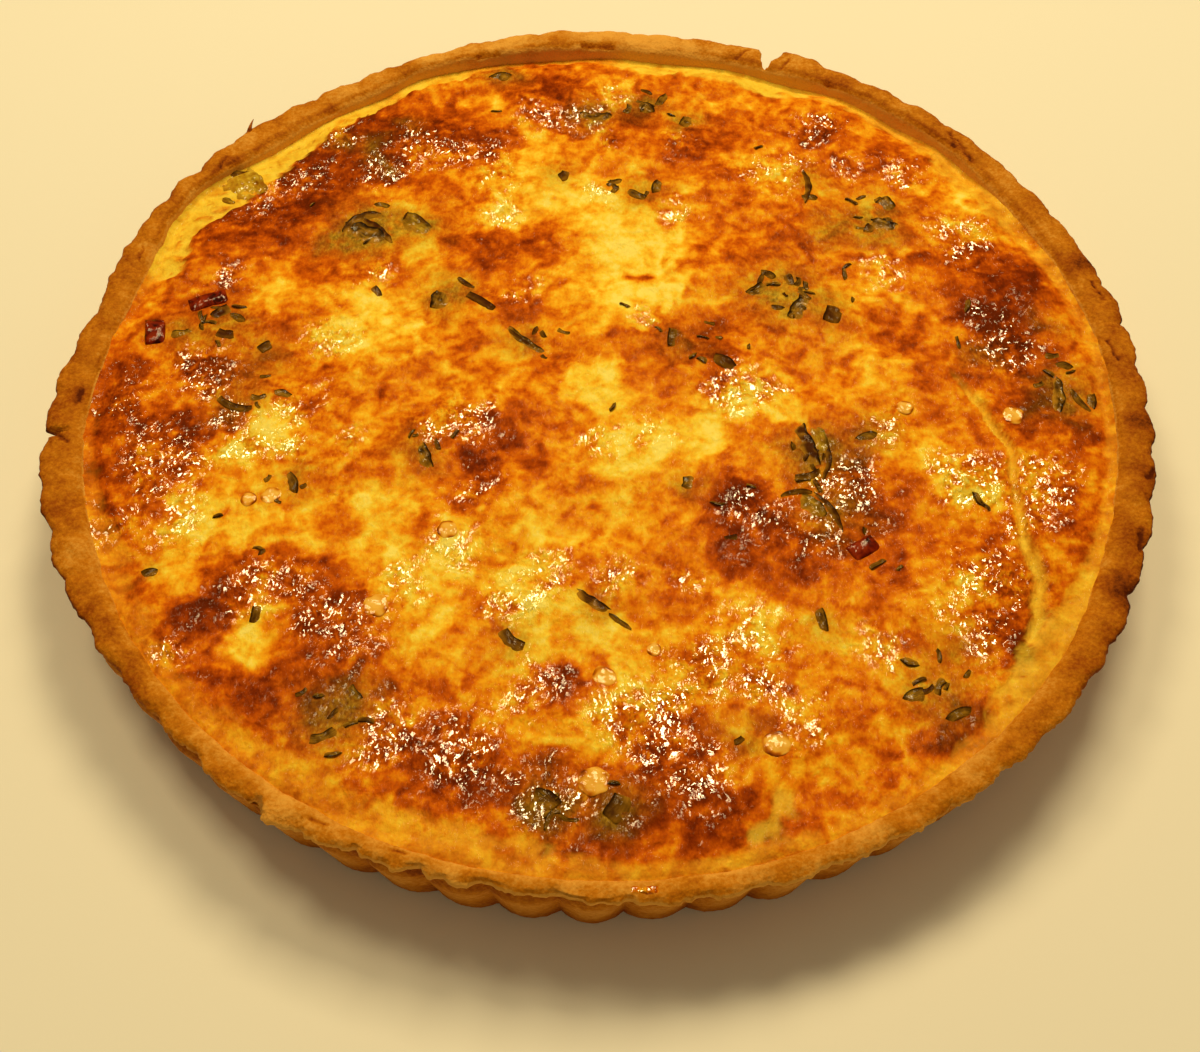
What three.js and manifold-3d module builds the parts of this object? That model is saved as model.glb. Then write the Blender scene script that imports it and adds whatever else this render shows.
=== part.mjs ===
// A whole baked quiche: a fluted shortcrust shell filled with egg custard, with leek and ham in its skin.
// Millimetres, +Z up. The origin is the middle of the flat base.
import * as THREE from "three";
import { mergeVertices } from "three/addons/utils/BufferGeometryUtils.js";
import Module from "manifold-3d";

// Shell
const FLUTES = 60;
const RIM_RADIUS = 137.8; // to the crest of the flutes, just under the lip
const BASE_RADIUS = 132.2; // to the crest of the flutes, at the foot
const FLUTE_DEPTH = 2.3;
const FLUTE_PHASE = 2.4; // degrees from +X to a valley
const FLUTE_COLUMNS = [0, 0.13, 0.36, 0.64, 0.87]; // shares of a flute's pitch, from valley to valley
const FLUTE_CREST_SPREAD = 0.9; // how unequal the crests are
const CRUST_HEIGHT = 27;
const FOOT_ROUND = 1.2;
const SIDE_HEIGHTS = [FOOT_ROUND, 9, 17, 22.6];
const FLOOR_THICKNESS = 5;
const LIP_OVERHANG = 0.7;
const LIP_FLUTING = 0.5; // how much of the flutes shows at the trimmed lip
const LIP_DROP = 1.9; // from the top of the rim down to the lip's outer edge
const RIM_PLAN = [
  [0, 9.8, -1.2],
  [15, 9.7, -0.2],
  [28, 9.6, 0.2],
  [46, 6.8, 0.7],
  [62, 6.2, 1],
  [68, 7, 1.2],
  [84, 7.4, 0.6],
  [102, 6, 0.8],
  [114, 4.8, 0],
  [121, 7.4, -0.4],
  [138, 8.8, 0.5],
  [149, 5.6, -0.3],
  [154, 6.6, -0.2],
  [159, 9.4, -0.6],
  [164, 11.2, -1.4],
  [169, 11.8, -3.4],
  [175, 11.2, -1.4],
  [183, 10, 0.4],
  [194, 9.4, 1.2],
  [205, 9.2, 0.4],
  [217, 8.4, -1.3],
  [229, 7.7, -1.7],
  [240, 7, 0.2],
  [250, 5.7, -1.2],
  [262, 5.2, -1.7],
  [272, 5.2, -0.4],
  [284, 5.2, 0],
  [310, 6.8, 0.3],
  [322, 8, 0.3],
  [336, 9.4, -0.5],
  [346, 9.6, -1],
  [360, 9.8, -1.2],
]; // degrees round from +X, from the crests' circle in to the wall, and how far the lip stands outwards
const RIM_PROFILE = [
  { share: 0.14, drop: 0.35 },
  { share: 0.5, drop: 0 },
  { share: 0.9, drop: 0.8 },
]; // shares of the rim's width from the lip inwards, and the drop from its top
const RIM_UNEVENNESS = 0.5;
const WALL_TAPER = 2; // how much thicker the wall is at the floor than at the rim
const WALL_COLUMNS = 120;
const FLOOR_COLUMNS = 60;

// Custard
const FILL_LEVEL = 25.2; // beside the wall at the sides, before the drop at the very edge
const FILL_TILT = 1.1; // higher at the front by this much, and as much lower at the back
const DOME = 1.6;
const EDGE_DROP = 1; // at the sides: twice that at the back, and none at the front
const EDGE_WIDTH = 8;
const RIPPLE_HEIGHT = 0.2;
const RIPPLES = [
  { along: [0.2, 0.05], shift: 0.9 },
  { along: [-0.08, 0.22], shift: 2.1 },
  { along: [0.14, -0.17], shift: 4 },
  { along: [0.1, 0.16], shift: 5.2 },
]; // waves in the skin: radians for each millimetre along X and Y
const CORNER_ROUND = 2; // where the wall meets the floor
const FILLING_GAP = 0.4; // between the custard and the shell
const FILLING_RINGS = 21;

// What lies in the custard's skin
const POCKET_GAP = 0.3;
const LEAF_THICKNESS = 1.5;
const CHIP_THICKNESS = 2.2;
const BIT_THICKNESS = 1.6;
const LEAF_STEPS = [5, 2];
const CHIP_STEPS = [2, 2];
const BIT_STEPS = [2, 1];

// Leek leaves: middle, heading in degrees, length, width, bend in degrees from end to end, pointedness.
const LEEK_LEAVES = [
  { at: [-65, 54], turn: -18, length: 16, width: 8.5, bend: -40, point: 0.7 },
  { at: [-51, 55], turn: -38, length: 9, width: 6.5, bend: 10, point: 0.6 },
  { at: [-42, 29], turn: 78, length: 9, width: 5, bend: 15, point: 0.4 },
  { at: [-20, 13], turn: -38, length: 14, width: 3.4, bend: 25, point: 0.6 },
  { at: [-1, -67], turn: -34, length: 13, width: 3.6, bend: 18, point: 0.8 },
  { at: [52, -23], turn: -80, length: 27, width: 3, bend: 210, point: 0.3 },
  { at: [54, -40], turn: -66, length: 13, width: 2.6, bend: -55, point: 0.5 },
  { at: [58, 72], turn: -84, length: 16, width: 3.4, bend: -60, point: 0.5 },
  { at: [75, 56], turn: 24, length: 10, width: 5.5, bend: 20, point: 0.5 },
  { at: [52, 24], turn: 62, length: 12, width: 5, bend: 20, point: 0.6 },
  { at: [-3, 101], turn: 12, length: 10, width: 5, bend: -15, point: 0.4 },
  { at: [-98, 21], turn: -22, length: 9, width: 5, bend: 20, point: 0.6 },
  { at: [-44, -23], turn: -66, length: 12, width: 3.4, bend: 20, point: 0.6 },
  { at: [114, -5], turn: -98, length: 19, width: 5, bend: -35, point: 0.7 },
  { at: [-100, 72.4], turn: -44, length: 11.5, width: 9, bend: 0, point: 0.4 },
];

// Ham: square-cornered chips.
const HAM_CHIPS = [
  { at: [-116, 16], turn: 100, length: 9, width: 5 },
  { at: [61, -50], turn: 35, length: 7, width: 5.5 },
  { at: [-104, 27], turn: 20, length: 9, width: 4 },
];

// Small shreds and dice of leek and ham that have baked into the skin.
const BITS = [
  { at: [-32, 26], turn: -38, length: 9, width: 2.2 },
  { at: [-20, -77], turn: -42, length: 7, width: 3 },
  { at: [78, 65], turn: -60, length: 6, width: 4.5 },
  { at: [41, 31], turn: 40, length: 6, width: 4 },
  { at: [44, 37], turn: -30, length: 4, width: 2 },
  { at: [12, 105], turn: -50, length: 5, width: 4 },
  { at: [17, 109], turn: 60, length: 6, width: 2.2 },
  { at: [24, 99], turn: 70, length: 5, width: 3.5 },
  { at: [-90, -10], turn: -8, length: 9, width: 2.2 },
  { at: [4, -117], turn: 60, length: 6, width: 4.5 },
  { at: [-11, -115], turn: -30, length: 5.5, width: 4 },
  { at: [-31, 119], turn: 10, length: 6, width: 3.5 },
  { at: [31, 5], turn: -35, length: 6, width: 3.6 },
  { at: [60, 22], turn: 75, length: 6, width: 4.4 },
  { at: [-109, 15], turn: 22, length: 5.5, width: 2.6 },
  { at: [-96, 14], turn: -10, length: 4, width: 3 },
  { at: [-86, 11], turn: 50, length: 3.2, width: 3 },
  { at: [-74, -33], turn: -70, length: 6, width: 2.4 },
  { at: [15, 71], turn: 75, length: 4.5, width: 3 },
  { at: [9, 68], turn: -36, length: 6, width: 2.2 },
  { at: [-11, 75], turn: 60, length: 3.6, width: 3 },
  { at: [21, -33], turn: 80, length: 4, width: 3 },
  { at: [18, 14], turn: 85, length: 6, width: 2.4 },
  { at: [69, -90], turn: 30, length: 4.4, width: 3.6 },
  { at: [78, -94], turn: 25, length: 6, width: 2.2 },
  { at: [50, -71], turn: -80, length: 6, width: 2.2 },
  { at: [31, -101], turn: 10, length: 4.2, width: 3.4 },
  { at: [-59, -101], turn: 25, length: 6, width: 2.4 },
  { at: [-78, -70], turn: 85, length: 4, width: 2.2 },
  { at: [-104, -59], turn: 10, length: 3.4, width: 2.2 },
  { at: [65, -18], turn: 15, length: 5, width: 2.2 },
  { at: [123, -5], turn: -100, length: 5, width: 2.4 },
];

// Swellings of the skin: middle, reach and height. A hollow has a height below zero.
const HILLS = [
  { at: [-94, -67], reach: 13, height: 0.9 },
  { at: [-62, -72], reach: 14, height: 0.8 },
  { at: [-30, -98], reach: 16, height: 0.9 },
  { at: [22, -112], reach: 15, height: 1.0 },
  { at: [85, -60], reach: 16, height: 1.3 },
  { at: [110, -30], reach: 10, height: 0.8 },
  { at: [36, -38], reach: 14, height: 0.8 },
  { at: [-108, -24], reach: 11, height: 1.0 },
  { at: [-106, 48], reach: 14, height: 1.1 },
  { at: [-72, 84], reach: 16, height: 1.1 },
  { at: [-14, 108], reach: 14, height: 0.8 },
  { at: [26, 84], reach: 13, height: 0.8 },
  { at: [66, 92], reach: 12, height: 0.9 },
  { at: [98, 56], reach: 12, height: 0.9 },
  { at: [104, 30], reach: 14, height: 0.7 },
  { at: [-24, -16], reach: 18, height: 0.6 },
  { at: [4, 50], reach: 22, height: -0.9 },
  { at: [-80, -76], reach: 8, height: -0.8 },
  { at: [-86, 0], reach: 14, height: -0.6 },
  { at: [56, 2], reach: 14, height: -0.6 },
];

// Blisters where steam has lifted the skin: middle and radius.
const BLISTERS = [
  { at: [-36, -47], radius: 2.4 },
  { at: [-51, -68], radius: 3 },
  { at: [1, -86], radius: 2.7 },
  { at: [38, -102], radius: 3 },
  { at: [-1, -111], radius: 3.6 },
  { at: [-79, -37], radius: 3 },
  { at: [-84, -38], radius: 2.4 },
  { at: [102, -11], radius: 3.4 },
];
const BLISTER_HEIGHT = 0.7;
const BLISTER_SIDES = 8;

// The split in the skin beside the right-hand edge, and its width and depth.
const SPLIT_PATH = [
  [92, -3],
  [95.2, -9],
  [98.6, -18],
  [100, -27],
  [99.4, -36],
  [99.2, -46],
  [100.2, -53],
  [100.8, -60],
  [99.3, -69],
  [97.4, -75],
];
const SPLIT_WIDTH = 2.4;
const SPLIT_DEPTH = 1.4;
const SPLIT_STEPS = 12;

// Damage to the rim: a broken notch, a fine crack, a chipped lip and a slab pushed outwards.
const RIM_BREAKS = [
  { angle: 68.8, width: 5.6, reach: 6.5, depth: 4 },
  { angle: 187.6, width: 1.8, reach: 7, depth: 4 },
  { angle: 238.4, width: 3.2, reach: 3.4, depth: 4 },
];
const PUSHED_SLAB = { angle: 65, halfWidth: 2.6, push: 2.2 };
const SHARD = { angle: 137, length: 5, thickness: 1.8 };

const CRUST_COLOUR = "#b5732e";
const CUSTARD_COLOUR = "#d98a1f";
const LEEK_COLOUR = "#5a5a2a";
const HAM_COLOUR = "#7a2c14";

const wasm = await Module();
wasm.setup();

const radians = THREE.MathUtils.degToRad;
const { lerp, smoothstep } = THREE.MathUtils;

// Seeded draws, the same on every run.
function seededDraws(seed) {
  let state = seed;
  return () => {
    state = (state + 0x6d2b79f5) | 0;
    let t = Math.imul(state ^ (state >>> 15), 1 | state);
    t = (t + Math.imul(t ^ (t >>> 7), 61 | t)) ^ t;
    return ((t ^ (t >>> 14)) >>> 0) / 4294967296;
  };
}

// The shell's plan is slightly out of round, in long waves.
function outOfRound(angle) {
  return 0.5 * Math.sin(2 * angle + 0.8) + 0.35 * Math.sin(3 * angle - 1.1) + 0.25 * Math.sin(5 * angle);
}

// One measure of the rim's plan at an angle, with soft changes between the places it is given for.
function rimPlan(angle, measure) {
  const degrees = THREE.MathUtils.euclideanModulo(THREE.MathUtils.radToDeg(angle), 360);
  const next = RIM_PLAN.findIndex(([place]) => place > degrees);
  const [before, after] = [RIM_PLAN[next - 1], RIM_PLAN[next]];
  return lerp(before[measure], after[measure], smoothstep(degrees, before[0], after[0]));
}

const rimWidth = (angle) => rimPlan(angle, 1);
const lipWander = (angle) => rimPlan(angle, 2);

// Radius of the inner wall at a height: the wall leans in towards the floor.
function innerRadius(angle, z) {
  const top = RIM_RADIUS - rimWidth(angle) + outOfRound(angle);
  const down = (CRUST_HEIGHT - LIP_DROP - z) / (CRUST_HEIGHT - LIP_DROP - FLOOR_THICKNESS);
  return top - WALL_TAPER * THREE.MathUtils.clamp(down, 0, 1);
}

// Height of the custard's skin.
function skinHeight(x, y) {
  const angle = Math.atan2(y, x);
  const wall = innerRadius(angle, CRUST_HEIGHT);
  const radius = Math.min(Math.hypot(x, y), wall);
  let z = FILL_LEVEL - (FILL_TILT * y) / RIM_RADIUS + DOME * (1 - (radius / wall) ** 2);
  const drop = EDGE_DROP * (1 + Math.sin(angle));
  z -= drop * (1 - smoothstep(wall - radius, 0, EDGE_WIDTH));
  for (const hill of HILLS) {
    const away = ((x - hill.at[0]) ** 2 + (y - hill.at[1]) ** 2) / hill.reach ** 2;
    z += hill.height * Math.exp(-away);
  }
  for (const { along, shift } of RIPPLES) z += RIPPLE_HEIGHT * Math.sin(along[0] * x + along[1] * y + shift);
  return z;
}

// Joins a run of rings into one closed surface. A ring of one point is a pole. Rings run counterclockwise
// seen from above, from the pole at the bottom out and up to the pole at the top.
function surfaceOfRings(rings) {
  const positions = [];
  const faces = [];
  let first = 0;
  rings.forEach((ring, k) => {
    ring.forEach((point) => positions.push(...point));
    if (k > 0) zipRings(faces, first - rings[k - 1].length, rings[k - 1].length, first, ring.length);
    first += ring.length;
  });
  const geometry = new THREE.BufferGeometry();
  geometry.setAttribute("position", new THREE.Float32BufferAttribute(positions, 3));
  geometry.setIndex(faces);
  return geometry;
}

function zipRings(faces, startA, countA, startB, countB) {
  const sidesA = countA === 1 ? 0 : countA;
  const sidesB = countB === 1 ? 0 : countB;
  let a = 0;
  let b = 0;
  while (a < sidesA || b < sidesB) {
    const pointA = startA + (a % countA);
    const pointB = startB + (b % countB);
    const nextIsA = b === sidesB || (a < sidesA && (a + 1) / sidesA <= (b + 1) / sidesB);
    if (nextIsA) {
      faces.push(pointA, startA + ((a + 1) % countA), pointB);
      a += 1;
    } else {
      faces.push(pointA, startB + ((b + 1) % countB), pointB);
      b += 1;
    }
  }
}

function ringAt(angles, radiusAt, heightAt) {
  return angles.map((angle, i) => {
    const radius = radiusAt(angle, i);
    return [radius * Math.cos(angle), radius * Math.sin(angle), heightAt(angle, i)];
  });
}

// Angles all the way round, from the first valley between the flutes.
function evenAngles(count) {
  return Array.from({ length: count }, (_, i) => radians(FLUTE_PHASE) + (2 * Math.PI * i) / count);
}

function toManifold(geometry) {
  return new wasm.Manifold(
    new wasm.Mesh({
      numProp: 3,
      vertProperties: new Float32Array(geometry.getAttribute("position").array),
      triVerts: new Uint32Array(geometry.getIndex().array),
    }),
  );
}

function toGeometry(solid) {
  const mesh = solid.getMesh();
  const geometry = new THREE.BufferGeometry();
  geometry.setAttribute("position", new THREE.BufferAttribute(mesh.vertProperties, 3));
  geometry.setIndex(new THREE.BufferAttribute(mesh.triVerts, 1));
  return geometry;
}

function meshOf(name, geometry, colour, roughness) {
  geometry.computeVertexNormals();
  const material = new THREE.MeshStandardMaterial({ color: colour, roughness, metalness: 0 });
  const mesh = new THREE.Mesh(geometry, material);
  mesh.name = name;
  return mesh;
}

// One entry for each column of points round the fluted side.
function fluteColumns() {
  const draw = seededDraws(28);
  const columns = [];
  for (let flute = 0; flute < FLUTES; flute += 1) {
    const crest = FLUTE_CREST_SPREAD * (draw() - 0.5);
    for (const share of FLUTE_COLUMNS) {
      const across = Math.sin(Math.PI * share);
      columns.push({
        angle: radians(FLUTE_PHASE) + (2 * Math.PI * (flute + share)) / FLUTES,
        bulge: FLUTE_DEPTH * across ** 0.8 + crest * across,
        ragged: draw() - 0.5,
        bump: draw() - 0.5,
      });
    }
  }
  return columns;
}

// How far the slab beside the broken notch stands out.
function slabPush(angle) {
  const off = Math.abs(angle - radians(PUSHED_SLAB.angle)) / radians(PUSHED_SLAB.halfWidth);
  return PUSHED_SLAB.push * (1 - smoothstep(off, 0.8, 1.5));
}

// The shell: flat base, fluted side, a ragged lip, a rounded rim, the inner wall and the floor.
function shellGeometry() {
  const columns = fluteColumns();
  const angles = columns.map((column) => column.angle);
  const lipHeight = CRUST_HEIGHT - LIP_DROP;
  const sideRadius = (angle, i, height) =>
    lerp(BASE_RADIUS, RIM_RADIUS, height / lipHeight) -
    FLUTE_DEPTH +
    columns[i].bulge +
    outOfRound(angle) +
    slabPush(angle) * smoothstep(height, CRUST_HEIGHT / 2, lipHeight);
  const lipBulge = (i) => lerp(0.6 * FLUTE_DEPTH, columns[i].bulge, LIP_FLUTING);
  const rimHeight = (angle, i) => CRUST_HEIGHT + RIM_UNEVENNESS * (columns[i].bump + Math.sin(7 * angle + 2));
  const foot = ringAt(
    angles,
    (angle, i) => sideRadius(angle, i, 0) - FOOT_ROUND,
    () => 0,
  );
  const sides = SIDE_HEIGHTS.map((height) =>
    ringAt(
      angles,
      (angle, i) => sideRadius(angle, i, height),
      () => height,
    ),
  );
  const rimRadius = (angle, i) => RIM_RADIUS - FLUTE_DEPTH + lipBulge(i) + lipWander(angle) + slabPush(angle);
  const lip = ringAt(
    angles,
    (angle, i) => rimRadius(angle, i) + LIP_OVERHANG * (1 + columns[i].ragged),
    (angle, i) => rimHeight(angle, i) - LIP_DROP,
  );
  const rims = RIM_PROFILE.map(({ share, drop }) =>
    ringAt(
      angles,
      (angle, i) => lerp(rimRadius(angle, i), innerRadius(angle, CRUST_HEIGHT), share),
      (angle, i) => rimHeight(angle, i) - drop,
    ),
  );
  const wallTop = ringAt(
    evenAngles(WALL_COLUMNS),
    (angle) => innerRadius(angle, lipHeight),
    () => lipHeight,
  );
  const wallFoot = ringAt(
    evenAngles(WALL_COLUMNS),
    (angle) => innerRadius(angle, FLOOR_THICKNESS),
    () => FLOOR_THICKNESS + CORNER_ROUND / 2,
  );
  const floorEdge = ringAt(
    evenAngles(FLOOR_COLUMNS),
    (angle) => innerRadius(angle, FLOOR_THICKNESS) - CORNER_ROUND,
    () => FLOOR_THICKNESS,
  );
  const middleUnder = [[0, 0, 0]];
  const middleInside = [[0, 0, FLOOR_THICKNESS]];
  const outside = [middleUnder, foot, ...sides, lip, ...rims];
  return surfaceOfRings([...outside, wallTop, wallFoot, floorEdge, middleInside]);
}

// A wedge that opens outwards, to break the rim with.
function breakGeometry({ angle, width, reach, depth }) {
  const outer = 8; // past the rim, so that the wedge cuts right through its edge
  const plan = new THREE.Shape();
  plan.moveTo(-reach, -0.15);
  plan.lineTo(outer, -0.9 * width);
  plan.lineTo(outer, 0.9 * width);
  plan.lineTo(-reach, 0.15);
  plan.closePath();
  const wedge = new THREE.ExtrudeGeometry(plan, { depth: depth + 4, bevelEnabled: false });
  wedge.translate(RIM_RADIUS, 0, CRUST_HEIGHT - depth);
  wedge.rotateZ(radians(angle));
  return wedge;
}

// A splinter of crust that stands off the rim.
function shardGeometry() {
  const shard = new THREE.ConeGeometry(SHARD.thickness, SHARD.length + 3, 4);
  shard.rotateZ(-Math.PI / 2);
  shard.translate(RIM_RADIUS - 1 + SHARD.length / 2, 0, CRUST_HEIGHT - 2.4);
  shard.rotateZ(radians(SHARD.angle));
  return shard;
}

// A geometry with its corners shared, as joining and cutting need.
function welded(geometry) {
  geometry.deleteAttribute("normal");
  geometry.deleteAttribute("uv");
  return mergeVertices(geometry);
}

function crustMesh() {
  let solid = toManifold(shellGeometry()).add(toManifold(welded(shardGeometry())));
  for (const wedge of RIM_BREAKS) solid = solid.subtract(toManifold(welded(breakGeometry(wedge))));
  return meshOf("crust", toGeometry(solid), CRUST_COLOUR, 0.7);
}

// A strip laid in the skin: a closed slab that follows the skin's height, bent in plan and pointed at its
// ends. Its two faces are split alike. swell makes it larger all round, for the pocket it lies in.
function stripGeometry(strip, thickness, [steps, rows], swell = 0) {
  const { at, turn, length, width, bend = 0, point = 0 } = strip;
  const positions = [];
  const total = length + 2 * swell;
  const curve = radians(bend) / length;
  for (const face of [1, -1]) {
    for (let i = 0; i <= steps; i += 1) {
      const along = (i / steps - 0.5) * total;
      const heading = radians(turn) + curve * along;
      const middle = arcPoint(along, curve, radians(turn));
      const pointed = 1 - point * Math.abs((2 * along) / total) ** 1.6;
      for (let j = 0; j <= rows; j += 1) {
        const across = (j / rows - 0.5) * (width * pointed + 2 * swell);
        const x = at[0] + middle[0] - across * Math.sin(heading);
        const y = at[1] + middle[1] + across * Math.cos(heading);
        const wave = 0.2 * Math.sin((5 * along) / length);
        positions.push(x, y, skinHeight(x, y) + wave + face * (thickness / 2 + swell));
      }
    }
  }
  const geometry = new THREE.BufferGeometry();
  geometry.setAttribute("position", new THREE.Float32BufferAttribute(positions, 3));
  geometry.setIndex(slabFaces(steps, rows));
  return geometry;
}

// A point on an arc through the origin, a distance along it, that leaves the origin at a heading.
function arcPoint(along, curve, heading) {
  if (Math.abs(curve) < 1e-6) return [along * Math.cos(heading), along * Math.sin(heading)];
  const turned = heading + curve * along;
  return [(Math.sin(turned) - Math.sin(heading)) / curve, (Math.cos(heading) - Math.cos(turned)) / curve];
}

// Triangles of a slab whose upper grid of points comes first and its lower grid second.
function slabFaces(steps, rows) {
  const under = (steps + 1) * (rows + 1);
  const at = (i, j) => i * (rows + 1) + j;
  const faces = [];
  for (let i = 0; i < steps; i += 1) {
    for (let j = 0; j < rows; j += 1) {
      const [p, q, r, s] = [at(i, j), at(i + 1, j), at(i + 1, j + 1), at(i, j + 1)];
      faces.push(p, q, r, p, r, s);
      faces.push(under + p, under + r, under + q, under + p, under + s, under + r);
    }
  }
  const wall = (from, to) => faces.push(under + from, under + to, to, under + from, to, from);
  for (let i = 0; i < steps; i += 1) {
    wall(at(i, 0), at(i + 1, 0));
    wall(at(i + 1, rows), at(i, rows));
  }
  for (let j = 0; j < rows; j += 1) {
    wall(at(steps, j), at(steps, j + 1));
    wall(at(0, j + 1), at(0, j));
  }
  return faces;
}

// The body of the custard: it fills the shell and ends in the baked skin.
function custardGeometry() {
  const outline = evenAngles(6 * FILLING_RINGS);
  const underside = FLOOR_THICKNESS + FILLING_GAP;
  const wallRadius = (angle, z) => innerRadius(angle, z) - FILLING_GAP;
  const edgeHeight = (angle) => {
    const wall = wallRadius(angle, CRUST_HEIGHT);
    return skinHeight(wall * Math.cos(angle), wall * Math.sin(angle));
  };
  const skin = [];
  for (let ring = FILLING_RINGS - 1; ring >= 1; ring -= 1) {
    const points = evenAngles(6 * ring).map((angle) => {
      const radius = (ring / FILLING_RINGS) * wallRadius(angle, FILL_LEVEL);
      return [radius * Math.cos(angle), radius * Math.sin(angle)];
    });
    skin.push(points.map(([x, y]) => [x, y, skinHeight(x, y)]));
  }
  return surfaceOfRings([
    [[0, 0, underside]],
    ringAt(
      outline,
      (angle) => wallRadius(angle, FLOOR_THICKNESS) - CORNER_ROUND,
      () => underside,
    ),
    ringAt(
      outline,
      (angle) => wallRadius(angle, FLOOR_THICKNESS),
      () => underside + CORNER_ROUND / 2,
    ),
    ringAt(outline, (angle) => wallRadius(angle, edgeHeight(angle)), edgeHeight),
    ...skin,
    [[0, 0, skinHeight(0, 0)]],
  ]);
}

// A low many-sided dome on the skin.
function blisterGeometry({ at, radius }) {
  const [x, y] = at;
  const ring = (share, lift) =>
    ringAt(
      evenAngles(BLISTER_SIDES),
      () => radius * share,
      () => lift,
    );
  const dome = surfaceOfRings([
    [[0, 0, -1]],
    ring(0.9, -1),
    ring(1, 0),
    ring(0.6, BLISTER_HEIGHT * 0.8),
    [[0, 0, BLISTER_HEIGHT]],
  ]);
  return dome.translate(x, y, skinHeight(x, y));
}

// The split: a three-sided groove drawn along its path at the height of the skin.
function splitGeometry() {
  const path = new THREE.CatmullRomCurve3(
    SPLIT_PATH.map(([x, y]) => new THREE.Vector3(x, y, skinHeight(x, y))),
  );
  const rings = [];
  for (let i = 0; i <= SPLIT_STEPS; i += 1) {
    const middle = path.getPoint(i / SPLIT_STEPS);
    const ahead = path.getTangent(i / SPLIT_STEPS);
    const side = new THREE.Vector3(-ahead.y, ahead.x, 0).normalize();
    const opening = Math.max(0.25, Math.sin((Math.PI * i) / SPLIT_STEPS)) * SPLIT_WIDTH;
    const corner = (across, lift) => {
      const point = middle.clone().addScaledVector(side, across * opening);
      return [point.x, point.y, middle.z + lift];
    };
    rings.push([corner(-1, SPLIT_DEPTH), corner(0, -SPLIT_DEPTH), corner(1, SPLIT_DEPTH)]);
  }
  const start = path.getPoint(0);
  const end = path.getPoint(1);
  return surfaceOfRings([[[start.x, start.y, start.z]], ...rings, [[end.x, end.y, end.z]]]);
}

const laidInSkin = [
  ...LEEK_LEAVES.map((leaf, i) => ({
    name: `leek_${i + 1}`,
    strip: leaf,
    thickness: LEAF_THICKNESS,
    steps: LEAF_STEPS,
    colour: LEEK_COLOUR,
  })),
  ...HAM_CHIPS.map((chip, i) => ({
    name: `ham_${i + 1}`,
    strip: chip,
    thickness: CHIP_THICKNESS,
    steps: CHIP_STEPS,
    colour: HAM_COLOUR,
  })),
];

function fillingMesh() {
  let solid = toManifold(custardGeometry());
  for (const blister of BLISTERS) solid = solid.add(toManifold(blisterGeometry(blister)));
  for (const bit of BITS) solid = solid.add(toManifold(stripGeometry(bit, BIT_THICKNESS, BIT_STEPS)));
  solid = solid.subtract(toManifold(splitGeometry()));
  for (const { strip, thickness, steps } of laidInSkin) {
    solid = solid.subtract(toManifold(stripGeometry(strip, thickness, steps, POCKET_GAP)));
  }
  return meshOf("filling", toGeometry(solid), CUSTARD_COLOUR, 0.35);
}

const quiche = new THREE.Group();
quiche.add(crustMesh());
quiche.add(fillingMesh());
for (const { name, strip, thickness, steps, colour } of laidInSkin) {
  quiche.add(meshOf(name, stripGeometry(strip, thickness, steps), colour, 0.45));
}

export default quiche;
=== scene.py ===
"""A whole baked quiche: a fluted shortcrust shell and a browned egg custard with leek and ham in its skin.

The shell is turned from one drawn profile and then fluted, the custard is a grid drawn in to a disc, and
every strip of leek and chip of ham is a grid bent along its own arc. Sizes in the lists below are in
millimetres.
"""

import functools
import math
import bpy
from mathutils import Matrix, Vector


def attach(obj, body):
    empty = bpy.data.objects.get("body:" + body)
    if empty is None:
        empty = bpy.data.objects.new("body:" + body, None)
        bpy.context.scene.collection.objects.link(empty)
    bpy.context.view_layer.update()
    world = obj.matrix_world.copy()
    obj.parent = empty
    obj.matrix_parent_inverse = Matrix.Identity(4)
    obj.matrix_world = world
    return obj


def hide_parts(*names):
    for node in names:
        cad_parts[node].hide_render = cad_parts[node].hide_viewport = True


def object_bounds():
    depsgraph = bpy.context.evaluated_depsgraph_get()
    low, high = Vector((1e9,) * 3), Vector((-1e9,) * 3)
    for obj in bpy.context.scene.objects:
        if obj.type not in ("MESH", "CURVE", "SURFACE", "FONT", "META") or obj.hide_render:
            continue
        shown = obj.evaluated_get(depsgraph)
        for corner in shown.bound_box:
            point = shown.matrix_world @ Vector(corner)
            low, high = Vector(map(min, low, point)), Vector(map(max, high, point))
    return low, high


bl_info = {
    "name": "Whole Quiche",
    "version": (1, 0, 0),
    "blender": (4, 5, 0),
    "location": "3D View > Sidebar > Quiche",
    "description": "Builds a round quiche with a fluted crust, a browned custard, leek and ham",
    "category": "Object",
}

import types

import bpy
import numpy as np
from mathutils import Vector

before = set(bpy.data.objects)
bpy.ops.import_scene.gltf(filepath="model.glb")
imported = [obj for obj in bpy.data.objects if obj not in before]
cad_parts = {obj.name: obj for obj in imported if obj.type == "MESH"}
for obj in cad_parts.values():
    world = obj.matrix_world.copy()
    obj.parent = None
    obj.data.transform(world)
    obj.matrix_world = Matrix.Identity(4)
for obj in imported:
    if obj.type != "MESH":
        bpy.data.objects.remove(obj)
CAD_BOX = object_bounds()

MM = 0.001
HIGHEST = CAD_BOX[1].z / MM
BOX_GAP = 0.05  # every piece stays this far inside the box of the solids

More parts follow.
